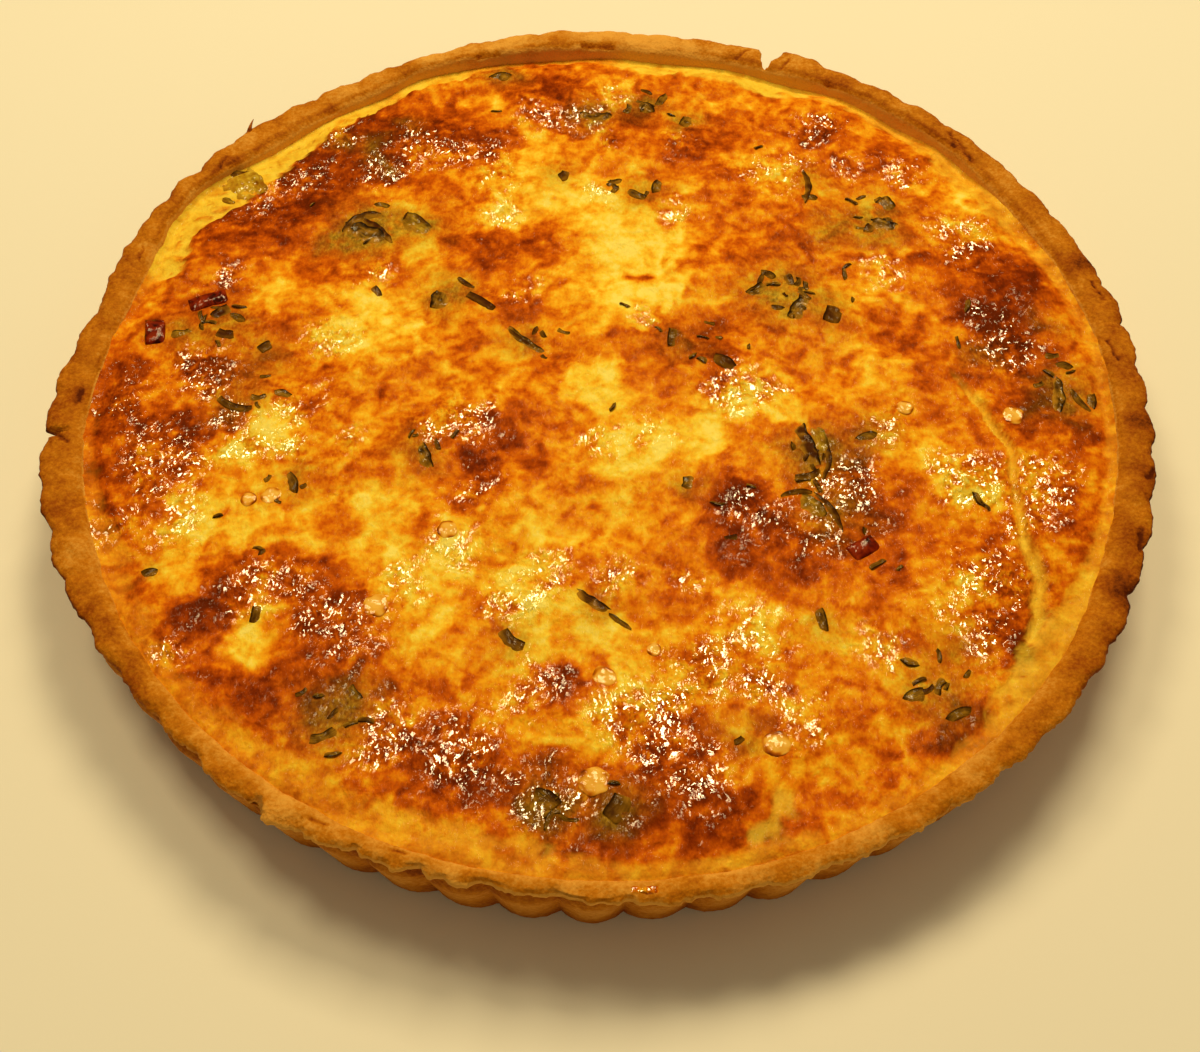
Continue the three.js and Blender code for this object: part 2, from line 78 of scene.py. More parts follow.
# Shell, as its solid has it.
RIM_RADIUS = 137.8  # to the crest of the flutes, just under the lip
BASE_RADIUS = 132.2
CRUST_HEIGHT = 27.0
FLUTE_PHASE = math.radians(2.4)  # from +X to a valley
FLUTE_COLUMNS = 5  # columns of the solid in one flute, each with two draws of its own
CREST_SPREAD = 0.9
FOOT_ROUND = 1.2
FLOOR_THICKNESS = 5.0
LIP_DROP = 1.9
LIP_HEIGHT = CRUST_HEIGHT - LIP_DROP
LIP_FLUTING = 0.5
UNDERCUT = 0.6  # the side draws in under the lip
WALL_RADIUS = 130.0  # the wall before its plan is applied
RIM_UNEVENNESS = 0.5
WALL_TAPER = 2.0
SHELL_COLUMNS = 1320
SIDE_HEIGHTS = (0.5, FOOT_ROUND, 2.6, 4.6, 7, 9.5, 12, 14.5, 17, 19, 20.7, 22, 23, 23.8, 24.4)
LIP_RINGS = ((0.1, -0.5), (0.75, -0.4), (1.0, -0.1), (1.0, 0.4), (0.8, 0.85), (0.4, 1.2))  # overhang, height
RIM_SHARES = (0.03, 0.08, 0.14, 0.21, 0.29, 0.38, 0.47, 0.56, 0.65, 0.73, 0.81, 0.88, 0.94, 0.985)
RIM_DROPS = ((0, 0.55), (0.08, 0.3), (0.2, 0.1), (0.5, 0), (0.72, 0.3), (0.88, 0.9), (1, 1.9))
WALL_HEIGHTS = (24.6, 24, 23.2, 22.4, 21.4, 19, 14, 9, FLOOR_THICKNESS + 1)
MIDDLE_RING = 60.0  # radius of a ring in the base and in the floor
BASE_RINGS = 4  # rings of the profile that stay flat on what the quiche rests on
CRUMB = ((3.2, 1.0), (1.3, 0.9))  # size of the crumb's relief, and its share of the crumb height

# The rim's plan: degrees round from +X, how far the wall lies inside the crests' circle, how far the lip
# stands outwards, and how much more or less it is baked there. This last measure is partly painted light:
# the top is painted paler at the back, where it faces the lamps, and darker at the sides.
RIM_PLAN = (
    (0, 9.8, -1.2, 0.18), (15, 9.7, -0.2, 0.12), (28, 9.6, 0.2, 0.06), (46, 6.8, 0.7, -0.02), (62, 6.2, 1, 0),
    (68, 7, 1.2, -0.02), (84, 7.4, 0.6, -0.4), (102, 6, 0.8, -0.24), (114, 4.8, 0, -0.16),
    (121, 7.4, -0.4, -0.12), (138, 8.8, 0.5, 0.02), (149, 5.6, -0.3, 0.02), (154, 6.6, -0.2, 0.04),
    (159, 9.4, -0.6, 0.06), (164, 11.2, -1.4, 0.1), (169, 11.8, -3.4, 0.1), (175, 11.2, -1.4, 0.1),
    (183, 10, 0.4, 0.14), (194, 9.4, 1.2, 0.1), (205, 9.2, 0.4, 0.04), (217, 8.4, -1.3, 0.17),
    (229, 7.7, -1.7, 0.08), (240, 7, 0.2, -0.02), (250, 5.7, -1.2, 0), (262, 5.2, -1.7, 0),
    (272, 5.2, -0.4, 0.04), (284, 5.2, 0, 0.02), (310, 6.8, 0.3, 0.06), (322, 8, 0.3, 0.22),
    (336, 9.4, -0.5, 0.24), (346, 9.6, -1, 0.2), (360, 9.8, -1.2, 0.18),
)  # fmt: skip

# Custard, as its solid has it.
FILL_LEVEL = 25.2
FILL_TILT = 1.1
DOME = 1.6
EDGE_DROP = 1.0  # at the sides: twice that at the back, and none at the front
EDGE_WIDTH = 8.0
RIPPLE_HEIGHT = 0.2
RIPPLES = ((0.2, 0.05, 0.9), (-0.08, 0.22, 2.1), (0.14, -0.17, 4.0), (0.1, 0.16, 5.2))
FILLING_GAP = 0.4
CORNER_ROUND = 2.0
SKIN_STEPS = 302  # cells of the grid from side to side
SKIN_CLING = 0.3  # the skin has baked on to the wall
CLIMB_REACH = 1.1

# Swellings and hollows of the skin: x, y, reach, height.
HILLS = (
    (-94, -67, 13, 0.9), (-62, -72, 14, 0.8), (-30, -98, 16, 0.9), (22, -112, 15, 1.0), (85, -60, 16, 1.3),
    (110, -30, 10, 0.8), (36, -38, 14, 0.8), (-108, -24, 11, 1.0), (-106, 48, 14, 1.1), (-72, 84, 16, 1.1),
    (-14, 108, 14, 0.8), (26, 84, 13, 0.8), (66, 92, 12, 0.9), (98, 56, 12, 0.9), (104, 30, 14, 0.7),
    (-24, -16, 18, 0.6), (4, 50, 22, -0.9), (-80, -76, 8, -0.8), (-86, 0, 14, -0.6), (56, 2, 14, -0.6),
)  # fmt: skip

# Browner (above zero) and yellower (below zero) patches of the skin: x, y, reach, amount.
PATCHES = (
    (-28, 112, 8, 0.25), (-16, 114, 7, 0.3), (-7, 104, 6, 0.3), (9, 100, 7, 0.3), (24, 84, 10, 0.34),
    (34, 95, 6, 0.2), (63, 92, 6, 0.42), (57, 98, 7, 0.15), (81, 85, 7, 0.15), (-35, 107, 5, -0.25),
    (4, 112, 6, -0.35), (-50, 117, 5, -0.3), (47, 79, 7, -0.2), (-61, 98, 8, 0.48), (-67, 88, 9, 0.75),
    (-75, 80, 8, 0.55), (-61, 76, 7, 0.34), (-87, 66, 8, 0.5), (-77, 68, 8, 0.3), (-94, 58, 8, 0.35),
    (-104, 50, 8, 0.3), (-106, 41, 7, 0.08), (-84, 50, 12, 0.2), (-44, 84, 5, -0.05), (-29, 77, 6, -0.25),
    (-19, 85, 7, -0.25), (-27, 60, 7, -0.3), (-35, 68, 7, -0.2), (-14, 66, 9, -0.45), (1, 62, 7, -0.45),
    (-50, 68, 8, 0.2), (-49, 47, 5, -0.22), (-34, 52, 10, 0.26), (-21, 52, 8, 0.3), (-29, 42, 7, 0.15),
    (6, 50, 12, -0.7), (13, 40, 10, -0.4), (9, 37, 3, 0.9), (6, 29, 8, -0.35), (18, 28, 8, -0.28),
    (1, 22, 7, -0.2), (-2, -1, 7, -0.9), (3, 13, 3, 0.3), (-20, 13, 6, 0.3), (-25, 24, 7, 0.2),
    (16, 10, 7, 0.36), (28, 8, 6, 0.4), (23, 17, 6, 0.3), (38, -5, 6, -0.28), (26, -13, 7, -0.45),
    (8, -24, 8, -0.6), (19, -18, 6, -0.3), (53, -24, 8, 0.25), (63, -22, 6, 0.22), (34, -37, 7, 0.8),
    (31, -50, 7, 0.4), (41, -46, 6, 0.5), (58, -45, 9, 0.34), (67, -36, 6, 0.35), (66, 8, 7, -0.3),
    (81, -25, 8, -0.32), (89, -34, 5, -0.2), (108, 34, 9, 0.9), (103, 20, 8, 0.75), (96, 22, 7, 0.3),
    (109, 8, 7, 0.3), (89, 41, 7, 0.25), (97, 45, 6, 0.25), (99, 66, 5, -0.3), (119, -17, 4.5, 0.42),
    (112, -35, 8, 0.2), (90, -58, 9, 0.32), (89, -72, 7, 0.32), (79, -96, 7, 0.36), (36, -70, 8, -0.22),
    (52, -76, 6, -0.18), (-88, 31, 5.5, -0.45), (-75, 30, 7, -0.2), (-61, 18, 12, -0.36), (-54, 5, 9, 0.05),
    (-71, 13, 6, -0.22), (-116, 20, 5, 0.35), (-101, 24, 5, 0.35), (-95, 2, 7, 0.42), (-92, -12, 7, 0.25),
    (-102, -17, 7, 0.45), (-112, -14, 7, 0.32), (-79, -16, 6.5, -0.48), (-89, -23, 6, -0.4),
    (-97, -43, 7, -0.36), (-87, -45, 7, -0.36), (-104, -29, 7, 0.2), (-115, -35, 7, 0.22), (-71, -8, 6, 0.15),
    (-58, -12, 8, -0.15), (-27, -22, 9, 0.32), (-31, -31, 7, 0.2), (-34, -52, 7, -0.46), (-44, -62, 8, -0.36),
    (-17, -62, 7, -0.3), (-11, -73, 8, -0.3), (-54, -50, 7, -0.25), (-92, -67, 8, 0.62), (-84, -60, 8, 0.25),
    (-67, -58, 8, 0.36), (-59, -70, 8, 0.46), (-66, -80, 7, 0.2), (-79, -79, 5.5, -0.6), (-79, -68, 5, -0.35),
    (-61, -92, 9, 0.36), (-75, -93, 7, 0.32), (-49, -89, 7, 0.2), (-9, -88, 4.6, 0.5), (-38, -104, 9, 0.4),
    (-26, -109, 8, 0.36), (-11, -114, 8, 0.3), (4, -116, 8, 0.3), (20, -110, 9, 0.34), (28, -117, 6, 0.46),
    (13, -103, 7, 0.2), (1, -100, 6, -0.12), (41, -119, 5, 0.1), (-22, -8, 8, 0.16), (70, 30, 8, -0.1),
    (52, 60, 9, 0.12), (74, 70, 8, -0.1), (-48, 94, 8, 0.3), (-36, 88, 8, 0.4), (-27, 90, 6, 0.25),
    (75, 80, 9, 0.25), (-74, 35, 8, 0.3), (-76, 18, 7, 0.2), (-73, 6, 6, 0.2), (48, 49, 7, 0.28),
    (66, 50, 6, 0.15), (74, 14, 7, 0.35), (97, 2, 8, 0.28), (108, -11, 7, 0.4), (112, -4, 8, 0.3),
    (67, -28, 7, 0.25), (69, -44, 6, 0.25), (91, -26, 5, 0.2), (92, -80, 5, 0.2), (46, -61, 6, 0.35),
    (36, 20, 6, 0.15), (-105, -35, 5, 0.3), (-90, -48, 5, 0.2), (-10, 51, 7, 0.22), (-10, 4, 5, 0.25),
    (22, -13, 5, 0.2), (110, 25, 6, 0.25), (113, 12, 6, 0.25), (-52, -22, 6, 0.2), (-122, -2, 6, 0.25),
    (-112, 30, 8, 0.08), (-100, 32, 6, 0.15), (-103, 6, 7, 0.25), (-93, 22, 5, 0.2), (-12, 116, 8, 0.15),
    (84, 60, 7, 0.15), (9, 35, 4, 0.2), (-97, 72, 5, -0.3), (-90, 70, 5, -0.2), (-52, 64, 6, -0.3),
    (-30, 55, 6, -0.3), (94, 50, 5, -0.15), (-24, 10, 7, -0.35), (-2, 77, 5, -0.2), (9, 81, 5, -0.3),
    (24, 72, 5, -0.3), (31, 84, 4, -0.25), (-116, 43, 5, -0.2), (-104, -24, 5, -0.25), (-112, -12, 4, -0.2),
    (-52, -38, 7, -0.35), (-73, -46, 7, -0.3), (-64, -52, 5, -0.25), (36, -30, 5, -0.25), (45, -11, 5, -0.25),
    (-37, -75, 7, -0.3), (-12, -80, 6, -0.4), (8, -86, 5, -0.35), (6, -75, 5, -0.3), (85, -64, 8, -0.4),
    (72, -67, 6, -0.25), (26, -114, 5, -0.3), (-8, -100, 6, -0.3), (-82, -86, 7, 0.35), (-76, -97, 4, -0.3),
    (70, -86, 5, -0.2), (-45, 8, 5, -0.2), (-57, -8, 6, 0.25), (8, 25, 6, -0.15), (48, -50, 6, 0.2),
    (56, 38, 6, 0.1), (30, 60, 8, 0.15), (38, 70, 6, 0.1), (-76, 97, 5, -0.4), (-96, -59, 6, -0.4),
    (-13, -45, 6, -0.3), (27, -112, 5, -0.3), (-46, 43, 5, -0.25), (-7, 38, 4, -0.3), (96, -74, 6, 0.3),
    (110, -45, 6, 0.3), (78, -100, 6, 0.3), (68, -60, 6, 0.25), (-35, 65, 5, 0.3), (-10, 98, 5, 0.3),
    (25, 43, 5, 0.3), (-33, 12, 5, 0.3), (-46, 106, 7, 0.25), (12, 112, 6, 0.25), (-8, -121, 7, 0.3),
    (6, -122, 7, 0.35), (19, -121, 7, 0.3), (30, -121, 5, 0.3), (-22, -117, 6, 0.25), (0, -126, 4, 0.2),
    (-61, 18, 6, -0.12), (20, -70, 6, 0.12), (20, 48, 4, -0.3), (21, 61, 4, -0.25), (16, 67, 4, 0.2),
    (16.5, 39, 3, 0.25), (18, 55, 2.5, 0.2), (10, 28, 4, 0.15), (-124, 3, 6, 0.3), (-125, -14, 6, 0.35),
    (-122, -29, 7, 0.3), (-61, 20, 6, -0.25), (18, -112, 7, 0.15), (-120, -10, 6, 0.2), (43, -117, 5, 0.2),
    (73, -75, 5, 0.25), (-10, -97, 5, 0.15), (3, -50, 5, -0.15),
)  # fmt: skip

# Where leek under the skin shows through it: x, y, reach, amount.
LEEK_SHADOWS = (
    (-66, 86, 4, 0.6), (-76, 90, 4, 0.6), (-63, 79, 3, 0.6), (-57, 97, 4, 0.4), (-73, 48, 5, 0.4),
    (-66, 50, 6, 0.4), (-64, 54, 9, 0.8), (-50, 54, 7, 0.7), (-41, 29, 7, 0.7), (-21, 13, 6, 0.5),
    (0, -68, 5, 0.35), (52, -24, 8, 0.8), (55, -42, 7, 0.6), (47, 30, 10, 0.75), (60, 24, 6, 0.4),
    (74, 58, 9, 0.7), (62, 54, 6, 0.5), (12, 106, 6, 0.7), (24, 100, 5, 0.6), (-3, 101, 7, 0.7),
    (-31, 120, 6, 0.7), (11, 68, 7, 0.5), (-12, 76, 5, 0.4), (-98, 18, 7, 0.5), (-110, 16, 6, 0.5),
    (-90, -8, 7, 0.5), (-74, -32, 6, 0.5), (-45, -23, 6, 0.5), (20, 12, 8, 0.35), (116, -4, 8, 0.7),
    (118, 20, 5, 0.4), (-11, -116, 6, 0.8), (4, -118, 5, 0.8), (-59, -98, 8, 0.6), (-52, -92, 6, 0.5),
    (74, -90, 8, 0.5), (31, -101, 5, 0.5), (-20, -77, 5, 0.45), (66, -18, 6, 0.5), (58, 73, 6, 0.4),
    (-104, -58, 4, 0.4), (50, -72, 4, 0.4), (78, -77, 5, 0.4), (-86, 8, 7, 0.4), (96, 9, 5, 0.4),
    (21, -34, 4, 0.5),
)  # fmt: skip

# Bare custard between the skin and the wall: degrees round from +X, width of the strip, and how yellow it is.
BARE_STRIP = (
    (-180, 2, 0), (-165, 3, 0.1), (-158, 6, 0.2), (-150, 6, 0.2), (-140, 4, 0.15), (-131, 6, 0.16),
    (-120, 6.5, 0.2), (-110, 7.5, 0.24), (-98, 8, 0.3), (-90, 3.6, 0.3), (-86, 2.6, 0.3), (-76, 3, 0.3),
    (-73, 3.5, 0.3), (-70, 3, 0.2), (-50, 3, 0.25), (-47, 6, 0.5), (-40, 7.5, 0.6), (-33, 6.5, 0.5),
    (-27, 3.5, 0.4), (-20, 2.4, 0.3), (10, 3, 0.2), (18, 3.6, 0.3), (25, 4.6, 0.4), (33, 7.5, 0.6),
    (40, 6.4, 0.55), (48, 4.4, 0.5), (60, 4.4, 0.6), (64, 7, 0.9), (66, 9.6, 1), (70, 8.6, 1), (76, 7.6, 1),
    (84, 8.4, 1), (88, 6.6, 0.95), (91, 2, 0.4), (107, 2, 0.3), (110, 6.5, 1), (117, 4.6, 1), (120, 5.4, 0.8),
    (124, 6.6, 1), (131, 7, 1), (134, 9.4, 1), (141, 11, 1), (149, 12, 1), (157, 9, 1), (160.5, 8.8, 1),
    (162.6, 8, 0.95), (163.8, 3, 0.2), (170, 2, 0), (180, 2, 0),
)  # fmt: skip
BARE_WEDGE = ((34, -124), (37, -119), (39.5, -113))  # a bare place inside the skin, at the front
WEDGE_WIDTH = 1.9

SPLIT_PATH = (
    (88.5, 4), (92, -3), (95.2, -9), (98.6, -18), (100, -27), (99.4, -36), (99.2, -46), (100.2, -53),
    (100.8, -60), (99.3, -69), (97.4, -75),
)  # fmt: skip
# Blisters of steam in the skin: x, y, radius.
BLISTERS = (
    (-36, -47, 2.4), (-51, -68, 3.0), (1, -86, 2.7), (38, -102, 3.0), (-1, -111, 3.4), (-79, -37, 2.6),
    (-84, -38, 2.2), (102, -11, 2.8), (75.5, -8.5, 2.1), (12, -79, 1.6),
)  # fmt: skip
BLISTER_RISE = 0.42
DOME_DENT = 0.15
SPILL = (9, -134.7, 5, 7.5, 2.2)  # custard baked on to the rim: x, y, heading, length, width
SPILL_EDGE = 135.0  # from here outwards it hangs

# Where the browned skin has crumpled: x, y, reach.
CRUMPLED = (
    (45, 77, 8), (98, 52, 8), (-45, 86, 8), (-30, 75, 6), (-28, 60, 6), (-57, 92, 6), (-75, 93, 6),
    (108, -30, 8), (90, -32, 8), (88, -60, 9), (85, -75, 7), (-110, -22, 8), (-103, 5, 8), (35, -5, 7),
    (35, -75, 8), (5, -95, 8), (-62, 76, 7), (-70, 14, 7), (-75, -8, 7), (-38, -15, 7), (-30, -35, 6),
    (57, -35, 8), (50, -48, 6), (38, -42, 6), (10, -100, 7), (-28, -105, 9), (-10, -115, 7), (20, -110, 8),
    (-80, -65, 7), (-55, -75, 7), (105, 12, 7), (60, 95, 6), (-5, 100, 7), (-20, 100, 7), (5, 112, 5),
    (0, -20, 5), (12, -18, 5), (-95, 62, 8), (-84, 74, 7), (-120, -8, 7), (-45, -98, 7), (66, 100, 4),
    (44, -96, 6), (-100, -45, 6), (100, -45, 6), (-15, -88, 6), (20, 60, 5), (75, 40, 6), (-100, 35, 5),
    (70, -15, 5), (-60, 36, 5), (-20, 30, 5), (62, -78, 6), (-62, -20, 5), (22, 92, 6), (85, 78, 6),
    (-115, -45, 6), (-100, -28, 7), (-108, -33, 6), (-88, -21, 6), (-92, -13, 4), (22, -84, 8), (14, -92, 6),
    (-20, -66, 7), (-10, -58, 5), (-35, -52, 6), (-44, -62, 5), (84, -29, 7), (105, -35, 7), (31, -2, 5),
    (42, -3, 5), (61, -29, 6), (3, -60, 5), (-96, -80, 5), (-70, -60, 5), (55, 80, 4), (70, 80, 4),
    (20, -60, 4), (96, -60, 6), (-50, -105, 5), (-32, 85, 5), (-52, 86, 6), (2, 90, 4), (-97, -4, 5),
    (-78, -20, 5), (36, -88, 5), (-64, -72, 5), (102, 24, 3.5), (-90, 76, 4), (-76, 92, 4), (100, 10, 5),
    (-30, -12, 5), (10, 20, 4), (-2, 68, 4),
)  # fmt: skip

# Leek leaves, one group of strips for each node: a broad leaf that melts into the skin, and its thin dark
# edges. A strip has x, y, heading, length, width, bend from end to end, pointedness and browning. Below zero,
# the browning says how pale the leaf is.
LEEK_LEAVES = (
    (
        (-65, 51.6, -24, 13, 6.6, -20, 0.4, 0.05), (-67, 57, 36, 12.5, 2.6, -62, 0.6, 0.75),
        (-61.4, 53.4, -44, 13.5, 2.1, -40, 0.6, 1.0),
    ),
    ((-51.6, 55, -38, 11, 6, 10, 0.35, -0.02), (-50, 56.8, -46, 7, 1.1, 10, 0.6, 0.8)),
    ((-42.6, 27, 78, 6.5, 5.4, 15, 0.3, 0.3), (-36.4, 32.6, -36, 5.6, 1.1, 20, 0.5, 0.9)),
    ((-20, 12.2, -40, 13, 2.6, 18, 0.5, 0.2), (-21, 13, -42, 9, 0.9, 14, 0.6, 0.9)),
    ((-2, -67, -32, 9.5, 3, 16, 0.5, 0.75), (4.6, -71.6, -38, 6.5, 1.2, -10, 0.8, 0.35)),
    (
        (49.8, -21, -75, 13.4, 4.3, 10, 0.3, 0.95), (55.2, -24, -88, 15, 1.4, -70, 0.5, 0.85),
        (53, -19.6, -80, 8, 4.4, 0, 0.3, -0.1), (50, -30.6, 20, 7, 1.6, 60, 0.5, 0.7),
    ),
    (
        (54.6, -40.6, -62, 13, 1.5, -40, 0.5, 0.9), (46.4, -35.6, 14, 8, 1.3, -50, 0.5, 0.6),
        (50, -39.6, -50, 8, 4.4, -10, 0.4, -0.02),
    ),
    ((57.2, 71.4, -92, 14, 1.7, -52, 0.4, 0.85),),
    ((76.6, 55.8, -20, 8, 4.4, 20, 0.4, 0.2), (72.6, 54.6, 60, 3.4, 2.4, 0, 0.2, 0.7)),
    ((51.8, 24.2, 60, 9, 5, 15, 0.4, 0), (49.4, 35, -70, 4.4, 2.2, 20, 0.4, 0.5)),
    ((-2.6, 100.4, -4, 9, 4, -12, 0.1, 0.35),),
    ((-99.6, 22.4, 40, 5.4, 4.4, 10, 0.1, 1.0), (-95.4, 20.6, -30, 5, 2, 10, 0.6, 0.1)),
    ((-43.2, -25.4, -68, 8, 3.4, 25, 0.4, 0.1),),
    ((114.6, -4, -98, 13, 3.4, -35, 0.5, 0.2), (119.6, -5.4, -62, 8, 1.4, 30, 0.6, 0.5)),
    (
        (-101.2, 72.2, -58, 13.6, 10.4, 0, 0.1, -0.7), (-103.4, 77.4, 14, 7, 1.8, -40, 0.4, 0.6),
        (-104.6, 65.4, -20, 4, 1.6, 20, 0.5, -0.1),
    ),
)  # fmt: skip
DIP = 0.35  # how far a strip goes in and out of the skin along its way
SUNK_EDGE = 0.5  # how far a strip's lower edge and its ends go into the skin
SUNK_END = 0.35
# Ham chips, one for each node: x, y, heading, length, width.
HAM_CHIPS = ((-116, 16, 100, 8.4, 5), (61.3, -51.2, 34, 7.4, 4.4), (-104, 27, 20, 10, 4.4))
# Shreds that are fused to the custard: x, y, heading, length, width, browning.
SHREDS = (
    (-32, 26, -38, 9, 2.2, 1.0), (-20, -77, -42, 7, 3, 0.6), (78, 65, -60, 6, 4.5, 0.1),
    (41, 31, 40, 6, 4, 0.1), (44, 37, -30, 4, 2, 0.2), (12, 105, -50, 5, 4, 0.1), (17, 109, 60, 6, 2.2, 0.2),
    (24, 99, 70, 5, 3.5, 0.0), (-92, -9.6, -22, 10, 2, 0.6), (4, -117, 60, 6, 4.5, 0.7),
    (-11, -115, -30, 5.5, 4, 0.5), (-31, 119, 10, 6, 3.5, 0.1), (31, 5, -35, 6, 3.6, 0.9),
    (60, 22, 75, 6, 4.4, 0.9), (-109, 15.4, 22, 5.5, 2.6, 0.0), (-97.6, 14.6, -8, 4.4, 3, 1.0),
    (-86.8, 10.8, 35, 3.4, 2.6, 0.8), (-74, -33, -70, 6, 2.4, 0.4), (15, 71, 75, 4.5, 3, 0.2),
    (9, 68, -36, 6, 2.2, 0.3), (-11, 75, 60, 3.6, 3, 0.8), (21, -33, 80, 4, 3, 0.1),
    (18, 14, 85, 6, 2.4, 0.6), (69, -90, 30, 4.4, 3.6, 0.0), (78, -94, 25, 6, 2.2, 0.3),
    (50, -71, -80, 6, 2.2, 0.3), (30, -101.6, 30, 2.4, 1.4, 0.6), (-59, -101, 25, 6, 2.4, 0.2),
    (-78, -70, 85, 4, 2.2, 0.4), (-104, -59, 10, 3.4, 2.2, 0.2), (65, -18, 15, 5, 2.2, 0.2),
    (123, -5, -100, 5, 2.4, 0.3),
)  # fmt: skip
# Where more small shreds lie: x, y, reach, how many.
SHRED_CLUSTERS = (
    (47, 30, 9, 13), (73, 60, 8, 9), (53, -28, 8, 7), (12, 104, 9, 7), (22, 13, 9, 6), (-101, 18, 9, 7),
    (-88, -6, 9, 4), (-60, 56, 9, 4), (115, 2, 9, 6), (-4, -116, 9, 7), (-58, -96, 10, 7), (74, -88, 9, 7),
    (8, 70, 8, 5), (-40, -22, 9, 4), (-32, 118, 7, 4), (60, 40, 14, 4), (30, -40, 12, 3), (-20, 15, 10, 3),
    (70, -60, 16, 3), (-80, -40, 16, 4), (0, 0, 110, 16),
)  # fmt: skip

SHREDS_WITHIN = 122.0  # radius that holds the small shreds
LEAF_PALE = -0.3  # a leaf with less browning than this is whole, and lies on the skin

# Damage to the rim: angle in degrees, half width at the edge, reach inwards, depth.
RIM_BREAKS = ((68.8, 3.2, 6.5, 3.6), (187.6, 1.1, 6, 2.8), (238.4, 2.4, 3.0, 3.0))
SLAB = (65, 2.6, 2.2)  # angle, half width in degrees, push outwards
# Dark cracks in the rim: from and to, each as degrees and radius, then width.
CRACKS = (
    (56.5, 128.6, 60, 131.6, 0.9), (38, 131.8, 41.5, 134.5, 0.6), (41, 132.5, 43, 135, 0.5),
    (181.6, 131, 183.6, 131.3, 0.5), (187.4, 136.5, 189.2, 132.3, 0.5), (127, 129, 128.4, 128.4, 0.5),
    (142.8, 134, 144.6, 132.8, 0.5), (71.6, 137, 72.6, 132.4, 0.5), (243.6, 134, 245, 133.7, 0.4),
    (251.6, 133.6, 253, 133.2, 0.4), (66.2, 137.4, 66.5, 133, 0.4), (12, 134.6, 15, 134, 0.4),
    (338, 135.4, 340.4, 135, 0.5), (347, 135.2, 348.2, 136.4, 0.6), (3, 131.6, 6, 130.6, 0.4),
    (89, 131, 93, 131.6, 0.6), (160, 131.6, 162, 131, 0.4), (104, 131.4, 107, 132, 0.5),
)  # fmt: skip
# Scorched spots of the rim: x, y, reach.
SCORCHES = (
    (-131, -6, 3), (68, 111, 5), (1, 131, 3), (-102, 79, 3), (-79, 103, 3), (-14, 132, 5), (96, 92, 5),
    (128, 42, 4), (133, -12, 4), (120, -62, 4), (-137, 8, 3), (-121, 64, 3), (-60, 121, 4), (30, 133, 4),
)  # fmt: skip
# Splinters that stand off the rim: angle, radius and height of the root, how far it reaches out and up, hook
# to the side, and width.
SPLINTERS = (
    (138.4, 134.8, 25.8, 4.4, 1.9, -4.4, 2.8), (229.5, 132.6, 24.4, 3.4, 0.8, -1.0, 2.4),
    (347.6, 133, 25.2, 3, 0.4, 0.8, 1.6),
)  # fmt: skip


def linear(hex_colour):
    """A colour as the eye names it, such as "#c87a24", as linear red, green, blue and alpha."""
    parts = [int(hex_colour[k : k + 2], 16) / 255 for k in (1, 3, 5)]
    return (*(c / 12.92 if c <= 0.04045 else ((c + 0.055) / 1.055) ** 2.4 for c in parts), 1.0)


# ---------------------------------------------------------------- settings


def length_setting(name, description, default_mm):
    return bpy.props.FloatProperty(
        name=name,
        description=description,
        default=default_mm * MM,
        precision=5,
        unit="LENGTH",
        subtype="DISTANCE",
    )


def colour_setting(name, description, hex_colour):
    return bpy.props.FloatVectorProperty(
        name=name, description=description, default=linear(hex_colour), size=4, min=0, max=1, subtype="COLOR"
    )


class ShellSettings(bpy.types.PropertyGroup):
    flutes: bpy.props.IntProperty(
        name="Flutes", description="How many flutes go round the side", default=60, min=12, max=120
    )
    flute_depth: length_setting("Flute depth", "From the valleys to the crests of the side", 2.3)
    lip_overhang: length_setting("Lip overhang", "How far the trimmed lip stands over the flutes", 0.8)
    crumb_height: length_setting("Crumb height", "Relief of the baked crumb", 0.32)
    pale: colour_setting("Pale crust", "Where the crust is least baked", "#e4a444")
    baked: colour_setting("Baked crust", "Most of the crust", "#c4770f")
    toasted: colour_setting("Toasted crust", "Edges and high places of the crust", "#9a4c02")
    scorched: colour_setting("Scorched crust", "Burnt spots and edges", "#581f00")


class CustardSettings(bpy.types.PropertyGroup):
    browning: bpy.props.FloatProperty(
        name="Browning", description="How far the skin has browned overall", default=0.44, min=0, max=1
    )
    wrinkle_height: length_setting("Wrinkle height", "Height of the modelled wrinkles", 0.42)
    yolk: colour_setting("Yolk", "Bare custard at the edge and in the split", "#eec63a")
    golden: colour_setting("Golden", "Custard skin before it browns", "#f4ad1e")
    browned: colour_setting("Browned", "Well browned skin", "#a44202")
    scorched: colour_setting("Scorched", "The darkest spots of the skin", "#662202")


class ToppingSettings(bpy.types.PropertyGroup):
    leek: colour_setting("Leek", "Flat of a leek leaf", "#6c4a0e")
    leek_light: colour_setting("Leek veins", "Veins and thin places of a leek leaf", "#ac8222")
    leek_edge: colour_setting("Leek edge", "Crisped edge of a leek leaf", "#241304")
    melted: colour_setting("Leek under skin", "Where the custard's skin has closed over a leaf", "#b8811f")
    ham: colour_setting("Ham", "Browned ham", "#701803")
    shred_size: bpy.props.FloatProperty(
        name="Shred size", description="Scale of the small shreds", default=1, min=0.3, max=2
    )


class StageSettings(bpy.types.PropertyGroup):
    floor: colour_setting("Floor", "The plain floor", "#f2eee6")
    key_power: bpy.props.FloatProperty(
        name="Key light", description="Power of the lamp behind the quiche", default=9.2, min=0, unit="POWER"
    )
    fill_power: bpy.props.FloatProperty(
        name="Fill light", description="Power of the large light overhead", default=1.5, min=0, unit="POWER"
    )
    lens: bpy.props.FloatProperty(
        name="Lens", description="Focal length", default=45.33, min=10, subtype="DISTANCE_CAMERA"
    )


# ---------------------------------------------------------------- sums on whole arrays of points

# The last number of each call of waves, creases and warped is the seed of its pattern.


